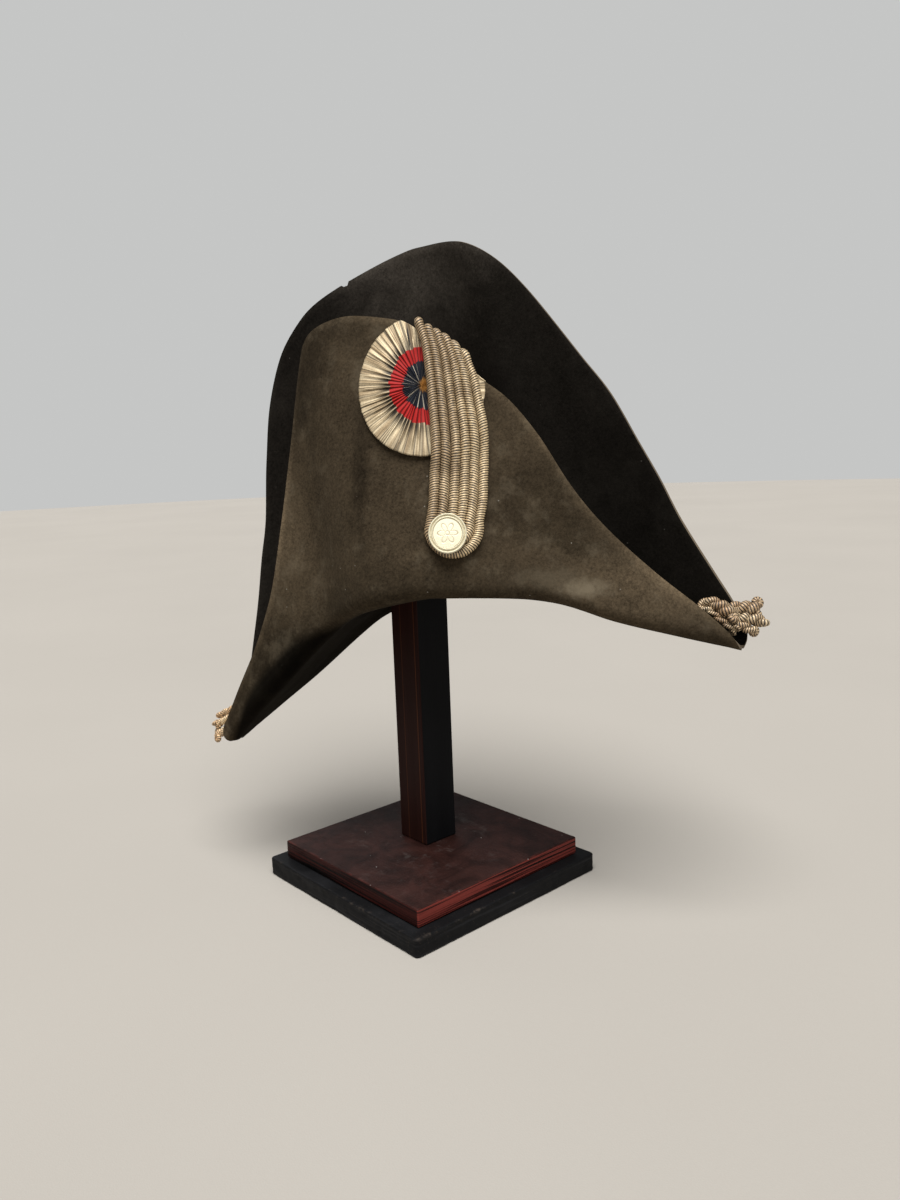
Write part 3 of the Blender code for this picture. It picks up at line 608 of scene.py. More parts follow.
def twisted(route, size, start):
    """Two thinner bullions wound round the route of one, each with a curl of thinner wire at its end."""
    length = lengths_along(route)
    ahead = unit(np.gradient(route, axis=0))
    aside = unit(np.cross(ahead, (0.0, 1.0, 0.3)))
    upward = np.cross(aside, ahead)
    for way in (1, -1):
        turn = (2 * math.pi * length / BULLION_TWIST + start)[:, None]
        swing = (BULLION_SWING * size * BULLION_DIAMETER / 2)[:, None] * way
        wound = route + swing * (aside * np.cos(turn) + upward * np.sin(turn))
        tip = wound[-1] - ahead[-1] * 0.001
        turns = np.radians(np.linspace(20, 400, CURL_STEPS))[:, None]
        reach = BULLION_CURL * np.linspace(1.0, 0.62, CURL_STEPS)[:, None]
        outward = (aside[-1] * math.cos(start) + upward[-1] * math.sin(start)) * way
        drift = np.cross(ahead[-1], outward) * np.linspace(0.0, CURL_DRIFT, CURL_STEPS)[:, None]
        curl = tip + outward * reach * (1 - np.cos(turns)) + ahead[-1] * reach * np.sin(turns) + drift
        thinner = np.concatenate((size * BULLION_SHARE, size[-1] * np.linspace(0.52, 0.40, CURL_STEPS)))
        yield np.concatenate((wound, curl)), thinner


def evened(route, sizes, spacing, softness):
    """The route at even distances along it, with its corners eased, the distances, and the sizes there."""
    length = lengths_along(route)
    count = max(8, int(length[-1] / spacing))
    places = np.linspace(0, length[-1], count + 1)
    points = np.stack([np.interp(places, length, route[:, axis]) for axis in range(3)], -1)
    reach = max(1, int(softness / spacing))
    kernel = np.hanning(2 * reach + 3)[1:-1]
    kernel /= kernel.sum()
    padded = np.vstack(
        (2 * points[0] - points[reach:0:-1], points, 2 * points[-1] - points[-2 : -reach - 2 : -1])
    )
    points = np.stack([np.convolve(padded[:, axis], kernel, "valid") for axis in range(3)], -1)
    return points, places, np.interp(places, length, sizes)


def wound_tube(route, places, radius, starts, spacing, depth, around, phase):
    """Points of a tube wound with thread, with rounded ends, and the height of its ridges from 0 to 1."""
    tangent = unit(np.gradient(route, axis=0))
    side = np.zeros_like(route)
    side[0] = unit(np.cross(tangent[0], (0.3, 1.0, 0.2)))
    for i in range(1, len(route)):
        side[i] = unit(side[i - 1] - tangent[i] * np.dot(side[i - 1], tangent[i]))
    other = np.cross(tangent, side)
    theta = np.linspace(0, 2 * math.pi, around + 1)
    wave = (starts * theta[None, :] + 2 * math.pi * places[:, None] / spacing + phase) / (2 * math.pi)
    share = wave - np.floor(wave)
    ridge = np.sqrt(np.clip(1 - (2 * share - 1) ** 2, 0.0, 1.0))
    from_end = np.minimum(places, places[-1] - places)
    round_off = np.sqrt(np.clip(1 - (1 - np.clip(from_end / (0.8 * radius), 0, 1)) ** 2, 0.0, 1.0))
    reach = (radius[:, None] - depth * (1 - ridge)) * round_off[:, None]
    points = (
        route[:, None]
        + side[:, None] * (reach * np.cos(theta))[..., None]
        + other[:, None] * (reach * np.sin(theta))[..., None]
    )
    return points, ridge


def mapped_grid(points, floats, uvs=None):
    """A grid of quads moved onto an array of points, with its float layers and UV maps given the same way."""
    columns, rows = points.shape[0] - 1, points.shape[1] - 1
    edit = bmesh.new()
    bmesh.ops.create_grid(edit, x_segments=columns, y_segments=rows, size=0.5)
    layers = {name: edit.verts.layers.float.new(name) for name in floats}
    places = {}
    for vert in edit.verts:
        i, j = round((vert.co.x + 0.5) * columns), round((vert.co.y + 0.5) * rows)
        places[vert] = (i, j)
        vert.co = points[i, j]
        for name, layer in layers.items():
            vert[layer] = float(floats[name][i, j])
    for name, values in (uvs or {}).items():
        layer = edit.loops.layers.uv.new(name)
        for face in edit.faces:
            for loop in face.loops:
                i, j = places[loop.vert]
                loop[layer].uv = values[i, j]
    return edit


def mesh_from(name, edit):
    """The mesh of a bmesh, which is then given up."""
    mesh = bpy.data.meshes.new(name)
    edit.to_mesh(mesh)
    edit.free()
    return mesh


def linked(name, data):
    """A new object in the scene."""
    thing = bpy.data.objects.new(name, data)
    bpy.context.scene.collection.objects.link(thing)
    return thing


def modify(piece, name, kind, **settings):
    """Adds a modifier to a piece."""
    modifier = piece.modifiers.new(name, kind)
    for setting, value in settings.items():
        setattr(modifier, setting, value)


def wound_mesh(settings, tube, starts, around, phase, merge):
    """A wound tube as a closed bmesh with its ridges as a layer. Tube holds its route, places and radius."""
    points, ridge = wound_tube(*tube, starts, settings.turn, settings.groove_depth, around, phase)
    edit = mapped_grid(in_world(points), {"ridge": ridge})
    bmesh.ops.remove_doubles(edit, verts=edit.verts, dist=merge)
    return edit


def neighbours(vert):
    """The vertices at the other ends of a vertex's edges."""
    return {edge.other_vert(vert) for edge in vert.link_edges}


def made(name, edit, finishes, outward=None):
    """A finished piece from a bmesh, shaded smooth and riding on the part's body.

    Outward is a point and a direction that the nearest face of an open shell looks in.
    """
    bmesh.ops.recalc_face_normals(edit, faces=edit.faces)
    if outward:
        point, direction = Vector(outward[0]), Vector(outward[1])
        nearest = min(edit.faces, key=lambda face: (face.calc_center_median() - point).length_squared)
        if nearest.normal.dot(direction) < 0:
            bmesh.ops.reverse_faces(edit, faces=edit.faces)
    mesh = mesh_from(name, edit)
    mesh.shade_smooth()
    piece = linked(name, mesh)
    for finish in finishes:
        mesh.materials.append(finish)
    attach(piece, BODY)
    return piece


class Wire:
    """One socket of a finish. Python's operators on it add Math nodes."""

    def __init__(self, finish, socket):
        self.finish = finish
        self.socket = socket

    def math(self, operation, *values, clamp=False):
        settings = {"operation": operation, "use_clamp": clamp}
        return self.finish.node("ShaderNodeMath", settings, dict(enumerate(values)))

    def __add__(self, other):
        return self.math("ADD", self, other)

    def __radd__(self, other):
        return self.math("ADD", other, self)

    def __sub__(self, other):
        return self.math("SUBTRACT", self, other)

    def __rsub__(self, other):
        return self.math("SUBTRACT", other, self)

    def __mul__(self, other):
        return self.math("MULTIPLY", self, other)

    def absolute(self):
        return self.math("ABSOLUTE", self)

    def above(self, level):
        return self.math("GREATER_THAN", self, level)

    def most(self, other):
        return self.math("MAXIMUM", self, other)

    def clamped(self):
        return self.math("ADD", self, 0.0, clamp=True)

    def step(self, low, high):
        """Smooth step from 0 at low to 1 at high. Low may be the greater of the two."""
        if low > high:
            return 1.0 - self.step(high, low)
        settings = {"interpolation_type": "SMOOTHSTEP", "clamp": True}
        sockets = {"Value": self, "From Min": low, "From Max": high}
        return self.finish.node("ShaderNodeMapRange", settings, sockets)


class Finish:
    """A material under the hand: each method adds nodes and gives a wire back."""

    def __init__(self, name):
        self.material = bpy.data.materials.new(name)
        self.material.use_nodes = True
        self.tree = self.material.node_tree
        self.shader = self.tree.nodes["Principled BSDF"]

    def plug(self, socket, value):
        if isinstance(value, Wire):
            self.tree.links.new(value.socket, socket)
        elif value is not None:
            if isinstance(value, tuple) and len(value) == 3 and socket.type == "RGBA":
                value = (*value, 1.0)
            socket.default_value = value

    def node(self, kind, settings=None, sockets=None, output=0):
        """Any node: its settings first, then the values and wires of its sockets."""
        node = self.tree.nodes.new(kind)
        for name, value in (settings or {}).items():
            setattr(node, name, value)
        for name, value in (sockets or {}).items():
            self.plug(node.inputs[name], value)
        return Wire(self, node.outputs[output])

    def place(self):
        return self.node("ShaderNodeTexCoord", output="Object")

    def uv(self, name):
        return self.node("ShaderNodeUVMap", {"uv_map": name})

    def layer(self, name):
        return self.node("ShaderNodeAttribute", {"attribute_name": name}, output="Fac")

    def moved(self, vector, shift=(0.0, 0.0, 0.0), turn=(0.0, 0.0, 0.0), scale=(1.0, 1.0, 1.0)):
        sockets = {"Vector": vector, "Location": shift, "Rotation": turn, "Scale": scale}
        return self.node("ShaderNodeMapping", None, sockets)

    def parts(self, vector):
        split = self.tree.nodes.new("ShaderNodeSeparateXYZ")
        self.plug(split.inputs[0], vector)
        return [Wire(self, output) for output in split.outputs]

    def length(self, vector):
        return self.node("ShaderNodeVectorMath", {"operation": "LENGTH"}, {0: vector}, "Value")

    def away(self, vector, point, size):
        """Distance from a point, in shares of a size along each axis."""
        shift = tuple(-p / s for p, s in zip(point, size))
        return self.length(self.moved(vector, shift, scale=tuple(1 / s for s in size)))

    def noise(self, vector, scale, detail=2.0, roughness=0.5, distortion=0.0):
        sockets = {
            "Vector": vector,
            "Scale": scale,
            "Detail": detail,
            "Roughness": roughness,
            "Distortion": distortion,
        }
        return self.node("ShaderNodeTexNoise", None, sockets)

    def streaks(self, vector, scale, detail, roughness, distortion=0.0, shift=(0.0, 0.0, 0.0)):
        """Noise with its own scale along each axis."""
        return self.noise(self.moved(vector, shift, scale=scale), 1.0, detail, roughness, distortion)

    def specks(self, vector, scale, size, level):
        """Small round specks, in the few cells whose chance is above a level."""
        sockets = {"Vector": vector, "Scale": scale}
        distance = self.node("ShaderNodeTexVoronoi", None, sockets, "Distance")
        chance = self.parts(self.node("ShaderNodeTexVoronoi", None, sockets, "Color"))[0]
        return distance.step(size, 0.05) * chance.above(level)

    def mix(self, factor, low, high):
        return self.node("ShaderNodeMix", {"data_type": "RGBA"}, {0: factor, 6: low, 7: high}, 2)

    def scaled(self, colour, share):
        """A colour made lighter or darker by a wire."""
        return self.node("ShaderNodeVectorMath", {"operation": "SCALE"}, {0: colour, "Scale": share})

    def bump(self, height, strength, distance, before=None):
        sockets = {"Strength": strength, "Distance": distance, "Height": height, "Normal": before}
        return self.node("ShaderNodeBump", None, sockets)

    def done(self, **sockets):
        """Sets the shader's sockets, named with underlines for their spaces, and gives the material."""
        for name, value in sockets.items():
            self.plug(self.shader.inputs[name.replace("_", " ")], value)
        return self.material


def felt_finish(name, colour, dust, wear_and_shade, lint, marks):
    """Old felt: slow patches, mottling, a fine nap, lint, marks, dust, and rubbed edges, with painted shade
    at the fold and under the hat, and painted light and shade among the marks.
    """
    felt = Finish(name)
    place = felt.place()
    broad = felt.noise(place, 7.0, 3.0, 0.55)
    patch = felt.noise(felt.moved(place, (3.1, 0.4, 1.7)), 26.0, 4.0, 0.6, 0.4)
    mottle = felt.noise(place, 120.0, 3.0, 0.6)
    grain = felt.noise(place, 420.0, 2.0, 0.6)
    nap = felt.noise(place, 900.0, 2.0, 0.7)
    shade = 0.92 + (broad - 0.5) * 0.9 + (patch - 0.5) * 0.55 + (mottle - 0.5) * 0.55
    shade = shade + (grain - 0.5) * 1.3 + (nap - 0.5) * 0.9
    edge = felt.layer("edge distance")
    fold = felt.layer("fold distance")
    rubbed = edge.step(0.010, 0.0) * 0.7 * wear_and_shade
    # Painted shade along the fold, where the felt turns under
    fold_shade = fold.step(-0.02, 0.004) * fold.step(0.045, 0.008)
    x = felt.parts(place)[0]
    # Painted shade under the hat, over the darker unfaded felt of the underside: it begins at the fold, and
    # higher up on the left, where the brim curls in
    curled = x.step(-0.03, -0.12) * x.step(-0.22, -0.15) * 0.026
    under = (fold - curled).step(0.0, -0.013)
    shade = shade * (1.0 - fold_shade * 0.30) * (1.0 + rubbed)
    # Painted light and painted shade, with some fading and stains: each mark makes the felt lighter or darker
    for point, size, change in marks:
        mark = felt.away(place, point, size) + (patch - 0.5) * 1.1
        shade = shade * (1.0 + mark.step(1.0, 0.15) * change * wear_and_shade)
    base = felt.scaled(colour, shade)
    dusty = (felt.noise(place, 45.0, 5.0, 0.7) * 1.1 + broad * 0.5).step(0.80, 1.05) * 0.22 * wear_and_shade
    for point, size, amount in FELT_DUST:
        mark = felt.away(place, point, size) + (mottle - 0.5) * 1.2 + (patch - 0.5) * 0.8
        dusty = dusty.most(mark.step(1.0, 0.0) * amount * wear_and_shade)
    base = felt.mix(dusty, base, dust)
    base = felt.mix(felt.specks(place, 150.0, 0.11, 0.93) * 0.55 * lint, base, LINT)
    # Painted shade and the darker unfaded felt under the hat, laid over the dust and lint
    base = felt.scaled(base, 1.0 - under * 0.92)
    height = nap * 0.6 + mottle * 0.4
    normal = felt.bump(height, 0.35, 0.0006, felt.bump(patch, 0.5, 0.0015))
    return felt.done(
        Base_Color=base,
        Roughness=0.95,
        Specular_IOR_Level=0.02,
        Sheen_Weight=0.02,
        Sheen_Roughness=0.6,
        Sheen_Tint=FELT_SHEEN,
        Normal=normal,
    )


def cut_edge_finish(name, colour):
    """The cut edge of the felt, paler and more open than its faces."""
    edge = Finish(name)
    place = edge.place()
    fibre = edge.noise(place, 500.0, 3.0, 0.7)
    slow = edge.noise(place, 18.0, 3.0)
    shade = 0.45 + fibre * 0.5 + slow * 0.6
    return edge.done(
        Base_Color=edge.scaled(colour, shade),
        Roughness=0.95,
        Specular_IOR_Level=0.2,
        Normal=edge.bump(fibre, 0.6, 0.0006),
    )


def bullion_finish(name, settings, cleaner=0.0, painted_light_slope=0.0):
    """Thread wound round a core: metal on the ridges, dirt and painted shade in the grooves, and patches of
    tarnish.

    Cleaner is how fast the tarnish gives way towards the right, and the last argument how fast the metal
    darkens there: painted light on the left tassel and painted shade on the right.
    """
    thread = Finish(name)
    place = thread.place()
    ridge = thread.layer("ridge")
    slow = thread.noise(place, 38.0, 3.0, 0.6)
    quick = thread.noise(place, 420.0, 3.0, 0.6)
    x = thread.parts(place)[0]
    clean = (slow - 0.5) + (x - 0.062) * cleaner
    metal = thread.mix(clean.step(-0.18, 0.22), settings.tarnish[:], settings.bright[:])
    # The metal grows darker towards the right, as painted light on the left tassel and painted shade on the
    # right
    metal = thread.scaled(metal, (0.50 + quick * 1.2) * (1.0 - x * painted_light_slope))
    # Dirt and painted shade: the grooves between the turns take the near-black groove colour, the ridges the
    # metal
    lit = (ridge + (quick - 0.5) * 0.4).step(0.60, 1.02)
    return thread.done(
        Base_Color=thread.mix(lit, settings.groove_dirt_and_shade[:], metal),
        Metallic=lit * 0.25,
        Roughness=0.62 - lit * 0.18,
        Specular_IOR_Level=0.5,
        Normal=thread.bump(quick, 0.4, 0.0003),
    )


def ribbon_finish(name, settings):
    """The dyed and pleated ribbon: a gilt middle, a dark core with pale rays, a red ring and silver, with
    painted shade between the pleats.
    """
    ribbon = Finish(name)
    place = ribbon.place()
    disc = ribbon.uv("disc")
    strip = ribbon.uv("ribbon")
    ridge = ribbon.layer("pleat")
    dye = ribbon.layer("dye")
    reach = ribbon.away(disc, (0.5, 0.5, 0.0), (0.5, 0.5, 1.0))
    # The dyed rings lie a little to the right of the disc's middle, with an end of their own on each pleat
    ragged = ribbon.away(disc, (0.5325, 0.5, 0.0), (0.5, 0.5, 1.0)) + (dye - 0.5) * 0.045
    side, height = ribbon.parts(disc)[:2]
    streak = ribbon.streaks(strip, (1.3, 1.0, 1.0), 3.0, 0.6)
    line = ribbon.streaks(strip, (6.0, 0.5, 1.0), 3.0, 0.65, shift=(7.0, 3.0, 0.0))
    thread = ribbon.streaks(strip, (1.5, 60.0, 1.0), 2.0, 0.6)
    fine = ribbon.noise(place, 700.0, 2.0, 0.6)
    silver = ribbon.mix(streak.step(0.38, 0.60), settings.shaded_silver[:], settings.silver[:])
    silver = ribbon.scaled(silver, 0.72 + fine * 0.35 + (thread - 0.5) * 0.4)
    silver = ribbon.mix(line.step(0.50, 0.40) * 0.8, silver, settings.lines_and_valley_shade[:])
    # Painted shade in the valleys between the pleats
    outer = ribbon.mix(ridge.step(0.15, 0.0) * reach.step(1.05, 0.6) * 0.7, silver, settings.lines_and_valley_shade[:])
    # Painted shade: near-black wedges between the gathered pleats just outside the red ring, on the left half
    gather_shade = (ridge.step(0.98, 0.35) * 1.25 + (streak - 0.5) * 2.2).clamped()
    wedge_shade = ragged.step(0.80, 0.58) * gather_shade * side.step(0.66, 0.34)
    outer = ribbon.mix(wedge_shade * 0.95, outer, GATHER_SHADE)
    # The ribbon outside the red ring grows darker towards the bottom of the disc
    outer = ribbon.scaled(outer, 1.0 - height.step(0.30, 0.06) * 0.28)
    # Painted shade: the red is darker in the pleats' valleys and lighter on their ridges, and streaked by the
    # thread lines
    red = ribbon.scaled(settings.red[:], 0.25 + ridge.step(0.0, 0.5) * 0.85 + (line - 0.5) * 1.1)
    ray = ribbon.streaks(strip, (1.15, 0.12, 1.0), 2.0, 0.5, shift=(3.0, 1.0, 0.0))
    pale = ray.step(0.56, 0.62) * ragged.step(0.09, 0.14)
    core = ribbon.mix(pale * 0.85, ribbon.scaled(settings.core[:], 0.5 + line), PALE_RAY)
    gilt = ragged.step(0.12, 0.06) * (0.35 + line * 0.9)
    core = ribbon.mix(gilt.clamped(), core, GILT)
    tuck = ribbon.away(disc, (0.478, 0.92, 0.0), (0.030, 0.11, 1.0)).step(1.0, 0.7)
    outer = ribbon.mix(tuck * 0.85, outer, TAN_TUCK)
    # Painted shadow: a dark line under the tucked ribbon end
    tuck_shadow = ribbon.away(disc, (0.462, 0.86, 0.0), (0.008, 0.10, 1.0)).step(1.0, 0.6)
    outer = ribbon.mix(tuck_shadow, outer, TUCK_SHADOW)
    in_core = (ragged + (ray - 0.5) * 0.16).step(0.355, 0.345)
    in_red = ragged.step(0.560, 0.550)
    base = ribbon.mix(in_core, ribbon.mix(in_red, outer, red), core)
    metal = (1.0 - in_red) * 0.35 * ridge.step(0.1, 0.5)
    return ribbon.done(
        Base_Color=base,
        Metallic=metal,
        Roughness=0.66 - (1.0 - in_red) * 0.14,
        Specular_IOR_Level=0.22,
        Normal=ribbon.bump(fine * 0.5 + thread * 0.5, 0.35, 0.0003),
    )


def button_finish(name, metal, dirt):
    """Silvered button metal with dirt in its hollows."""
    button = Finish(name)
    place = button.place()
    low = button.layer("hollow")
    slow = button.noise(place, 160.0, 4.0, 0.65)
    fine = button.noise(place, 1200.0, 2.0, 0.6)
    soiled = (low * 0.9 + (slow - 0.5) * 0.9).step(0.25, 0.85)
    return button.done(
        Base_Color=button.mix(soiled * 0.85, button.scaled(metal, 0.85 + fine * 0.3), dirt),
        Metallic=0.35 - soiled * 0.25,
        Roughness=0.44 + soiled * 0.3 + fine * 0.1,
        Normal=button.bump(slow * 0.6 + fine * 0.4, 0.25, 0.0003),
    )


def board_place(wood):
    """Object coordinates turned into the boards' own axes."""
    return wood.moved(wood.place(), turn=(0.0, 0.0, math.radians(-STAND_TURN)))


def rim_share(x, y, width, inner, outer):
    """Smooth step over a board's rim, between two distances in from its sides."""
    return x.absolute().most(y.absolute()).step(width / 2 - inner, width / 2 - outer)


def upper_board_finish(name, top_colour, edge_colour):
    """Mahogany stain on ply: streaked and dusty on top, with the plies showing redder on its edges."""
    wood = Finish(name)
    place = board_place(wood)
    x, y, z = wood.parts(place)
    grain = wood.streaks(place, (6.0, 70.0, 70.0), 5.0, 0.6, 0.6)
    pores = wood.streaks(place, (60.0, 900.0, 900.0), 2.0, 0.6)
    cloud = wood.noise(place, 14.0, 4.0, 0.6)
    blotch = wood.noise(wood.moved(place, (2.3, 0.7, 0.0)), 22.0, 4.0, 0.65, 0.8)
    shade = 0.25 + grain * 0.5 + blotch.step(0.30, 0.72) * 1.0 + (pores - 0.5) * 0.4
    top = wood.scaled(top_colour, shade)
    dust = wood.noise(place, 30.0, 5.0, 0.75) + wood.noise(place, 160.0, 3.0, 0.7) * 0.5
    near_post = wood.away(place, (-0.009, 0.008, 2 * BOARD_THICKNESS), (0.075, 0.075, 0.05)).step(1.2, 0.4)
    top = wood.mix(dust.step(0.78, 1.02) * (0.04 + near_post * 0.10), top, BOARD_DUST)
    top = wood.mix(wood.specks(place, 170.0, 0.10, 0.94) * 0.6, top, BOARD_SPECKS)
    plies = wood.streaks(place, (9.0, 9.0, 620.0), 2.0, 0.4)
    side = wood.scaled(edge_colour, 0.08 + plies.step(0.43, 0.58) * 1.1 + (cloud - 0.5) * 0.9)
    # The plies keep their full red only on the board's side towards +x, at the right front; its other sides
    # are darkened to 0.22 of it
    low_edge = (x - (UPPER_BOARD_WIDTH / 2 - 0.0012)).step(-0.0004, 0.0004)
    side = wood.mix(low_edge, wood.scaled(side, 0.22), side)
    on_top = (z - (2 * BOARD_THICKNESS - 0.0012)).step(-0.0003, 0.0006)
    worn = wood.noise(place, 60.0, 3.0, 0.6).step(0.45, 0.65)
    rim = rim_share(x, y, UPPER_BOARD_WIDTH, 0.0025, 0.0005) * worn
    base = wood.mix(on_top, side, wood.mix(rim * 0.35, top, edge_colour))
    return wood.done(
        Base_Color=base,
        Roughness=0.52 + (cloud - 0.5) * 0.25 + dust.step(0.7, 1.0) * 0.2,
        Specular_IOR_Level=0.12,
        Normal=wood.bump(grain * 0.6 + pores * 0.6, 0.35, 0.0006),
    )


def lower_board_finish(name, colour, bare):
    """Black stain with plies on the sides, gritty, and rubbed bare here and there along the rim."""
    wood = Finish(name)
    place = board_place(wood)
    x, y, z = wood.parts(place)
    grain = wood.streaks(place, (8.0, 90.0, 90.0), 5.0, 0.6, 0.5)
    plies = wood.streaks(place, (12.0, 12.0, 520.0), 3.0, 0.5)
    cloud = wood.noise(place, 22.0, 4.0, 0.65)
    chips = wood.noise(place, 130.0, 4.0, 0.7)
    rim = rim_share(x, y, LOWER_BOARD_WIDTH, 0.0040, 0.0003)
    upper = z.step(BOARD_THICKNESS - 0.0035, BOARD_THICKNESS - 0.0005)
    rubbed = rim * upper * (chips + (cloud - 0.5) * 0.9).step(0.56, 0.80)
    grit = wood.noise(place, 700.0, 2.0, 0.6).step(0.60, 0.72)
    rubbed = rubbed.most(grit * (chips + (cloud - 0.5) * 0.6).step(0.45, 0.65) * 0.65)
    shade = 0.25 + grain * 0.5 + cloud * 0.6 + plies.step(0.50, 0.66) * 1.6
    return wood.done(
        Base_Color=wood.mix(rubbed * 0.45, wood.scaled(colour, shade), bare),
        Roughness=0.60 + (cloud - 0.5) * 0.4,
        Specular_IOR_Level=0.11,
        Normal=wood.bump(grain * 0.5 + plies * 0.6 + chips * 0.4, 0.55, 0.0008),
    )


def post_finish(name, red, black, glue):
    """A laminated post: its left side red-brown with two paler glue lines, its right side black."""
    wood = Finish(name)
    place = board_place(wood)
    x, y = wood.parts(place)[:2]
    middle = Matrix.Rotation(math.radians(-STAND_TURN), 3, "Z") @ Vector(POST_TOP)
    x, y = x - middle.x, y - middle.y
    grain = wood.streaks(place, (140.0, 140.0, 5.0), 5.0, 0.6, 0.4)
    cloud = wood.streaks(place, (30.0, 30.0, 12.0), 4.0, 0.6)
    pores = wood.streaks(place, (900.0, 900.0, 60.0), 2.0, 0.6)
    shade = 0.45 + grain * 0.65 + cloud * 0.45 + (pores - 0.5) * 0.3
    front = (y + POST_WIDTH / 2).step(0.0012, 0.0004)
    lines = 0.0
    for across, strength in ((0.0135, 0.40), (-0.006, 0.22)):
        line = (x - across).absolute().step(GLUE_WIDTH, GLUE_WIDTH * 0.4)
        lines = (line * strength * (0.5 + cloud * 0.8)) + lines
    base = wood.mix(front, wood.scaled(black, shade), wood.scaled(red, shade))
    base = wood.mix((lines * front).clamped(), base, glue)
    return wood.done(
        Base_Color=base,
        Roughness=0.55 + (cloud - 0.5) * 0.3,
        Specular_IOR_Level=0.055,
        Normal=wood.bump(grain * 0.6 + pores * 0.5, 0.4, 0.0006),
    )


def cloth_finish(name, colour):
    """The plain pale cloth of the stage."""
    cloth = Finish(name)
    place = cloth.place()
    slow = cloth.noise(place, 1.6, 3.0, 0.5)
    weave = cloth.noise(place, 900.0, 2.0, 0.6)
    return cloth.done(
        Base_Color=cloth.scaled(colour, 0.93 + slow * 0.10 + (weave - 0.5) * 0.06),
        Roughness=0.95,
        Specular_IOR_Level=0.1,
        Normal=cloth.bump(weave, 0.2, 0.0005),
    )


def colour_of(name, description, *default):
    return bpy.props.FloatVectorProperty(
        name=name, description=description, subtype="COLOR", size=3, min=0.0, max=1.0, default=default
    )


def length_of(name, description, default, least=0.0):
    words = {"name": name, "description": description}
    return bpy.props.FloatProperty(**words, unit="LENGTH", min=least, default=default)


def strength_of(name, description, default):
    return bpy.props.FloatProperty(name=name, description=description, min=0.0, default=default)


def count_of(name, description, default, least, most):
    return bpy.props.IntProperty(name=name, description=description, min=least, max=most, default=default)


class BicorneFeltSettings(bpy.types.PropertyGroup):
    outside: colour_of("Outside", "Colour of the flaps' outer faces", 0.049, 0.0362, 0.0222)
    inside: colour_of("Inside", "Colour of the felt inside the flaps", 0.0108, 0.0092, 0.0075)
    cut_edge: colour_of("Cut edge", "Colour of the felt's cut edge", 0.1187, 0.0925, 0.0625)
    dust: colour_of("Dust", "Colour of the dust on the outside", 0.165, 0.135, 0.092)
    inner_dust: colour_of("Inner dust", "Colour of the dust on the inside", 0.040, 0.035, 0.028)
    # Wear also sets how strongly the painted light and shade of the marks show
    wear_and_shade: bpy.props.FloatProperty(
        name="Wear", description="How strongly marks show", subtype="FACTOR", min=0.0, max=1.0, default=1.0
    )
    dents: length_of("Dents", "Height of the slow waves in the flaps", 0.0012)
    columns: count_of("Columns", "Columns of faces round each flap", 210, 40, 300)


class BicorneCockadeSettings(bpy.types.PropertyGroup):
    silver: colour_of("Silver", "Colour of the bright ribbon", 0.70, 0.57, 0.37)
    shaded_silver: colour_of("Shaded silver", "Colour of the darker ribbon threads", 0.42, 0.31, 0.18)
    # Colour of the fine thread lines and of the painted shade between the pleats
    lines_and_valley_shade: colour_of("Valleys", "Colour between the pleats", 0.034, 0.026, 0.018)
    red: colour_of("Red", "Colour of the red ring", 0.345, 0.0135, 0.0115)
    core: colour_of("Core", "Colour of the dark core", 0.0075, 0.0095, 0.016)
    pleats: count_of("Pleats", "Pleats of the ribbon", 54, 12, 120)
    curl: length_of("Curl", "How far the rim lifts at the lower left", 0.0030)


class BicorneLoopSettings(bpy.types.PropertyGroup):
    bright: colour_of("Thread", "Colour of the clean bullion", 0.62, 0.47, 0.275)
    tarnish: colour_of("Tarnish", "Colour of the dull bullion", 0.37, 0.26, 0.145)
    groove_dirt_and_shade: colour_of("Grooves", "Colour between the turns", 0.014, 0.009, 0.005)
    turn: length_of("Turn", "Distance between the wound threads", 0.0021, 0.0005)
    # Colour of the dirt and painted shade in the grooves
    groove_depth: length_of("Groove depth", "Depth between two threads", 0.00075)


class BicorneButtonSettings(bpy.types.PropertyGroup):
    metal: colour_of("Metal", "Colour of the silvered face", 0.69, 0.63, 0.455)
    dirt: colour_of("Dirt", "Colour of the dirt in the hollows", 0.30, 0.235, 0.12)
    petals: count_of("Petals", "Petals of the rosette", 6, 3, 12)


class BicorneTasselSettings(bpy.types.PropertyGroup):
    bright: colour_of("Thread", "Colour of the clean bullion", 0.97, 0.78, 0.50)
    tarnish: colour_of("Tarnish", "Colour of the dull bullion", 0.50, 0.31, 0.16)
    # Colour of the dirt and painted shade in the grooves
    groove_dirt_and_shade: colour_of("Grooves", "Colour between the turns", 0.018, 0.011, 0.007)
    turn: length_of("Turn", "Distance between the wound threads", 0.0016, 0.0005)
    groove_depth: length_of("Groove depth", "Depth between two threads", 0.0006)


class BicorneStandSettings(bpy.types.PropertyGroup):
    top: colour_of("Board top", "Colour of the upper board", 0.0225, 0.0084, 0.0066)
    edge: colour_of("Board edge", "Colour of the upper board's plies", 0.118, 0.021, 0.016)
    black: colour_of("Black stain", "Colour of the lower board", 0.0050, 0.0050, 0.0055)
    bare: colour_of("Bare wood", "Colour where the black is rubbed off", 0.085, 0.065, 0.050)
    post: colour_of("Post", "Colour of the post's left side", 0.0190, 0.0064, 0.0048)
    glue: colour_of("Glue line", "Colour of the lines on the post", 0.17, 0.058, 0.022)


class BicorneStageSettings(bpy.types.PropertyGroup):
    cloth: colour_of("Cloth", "Colour of the floor", 0.395, 0.367, 0.328)
    wall: colour_of("Wall", "Colour of the room behind the floor", 0.56, 0.565, 0.56)
    key: strength_of("Key light", "Strength of the large soft light overhead", 4.7)
    side: strength_of("Side lights", "Strength of each of the two weak lights", 0.42)
    fill: strength_of("Fill", "Strength of the light from all round", 0.16)


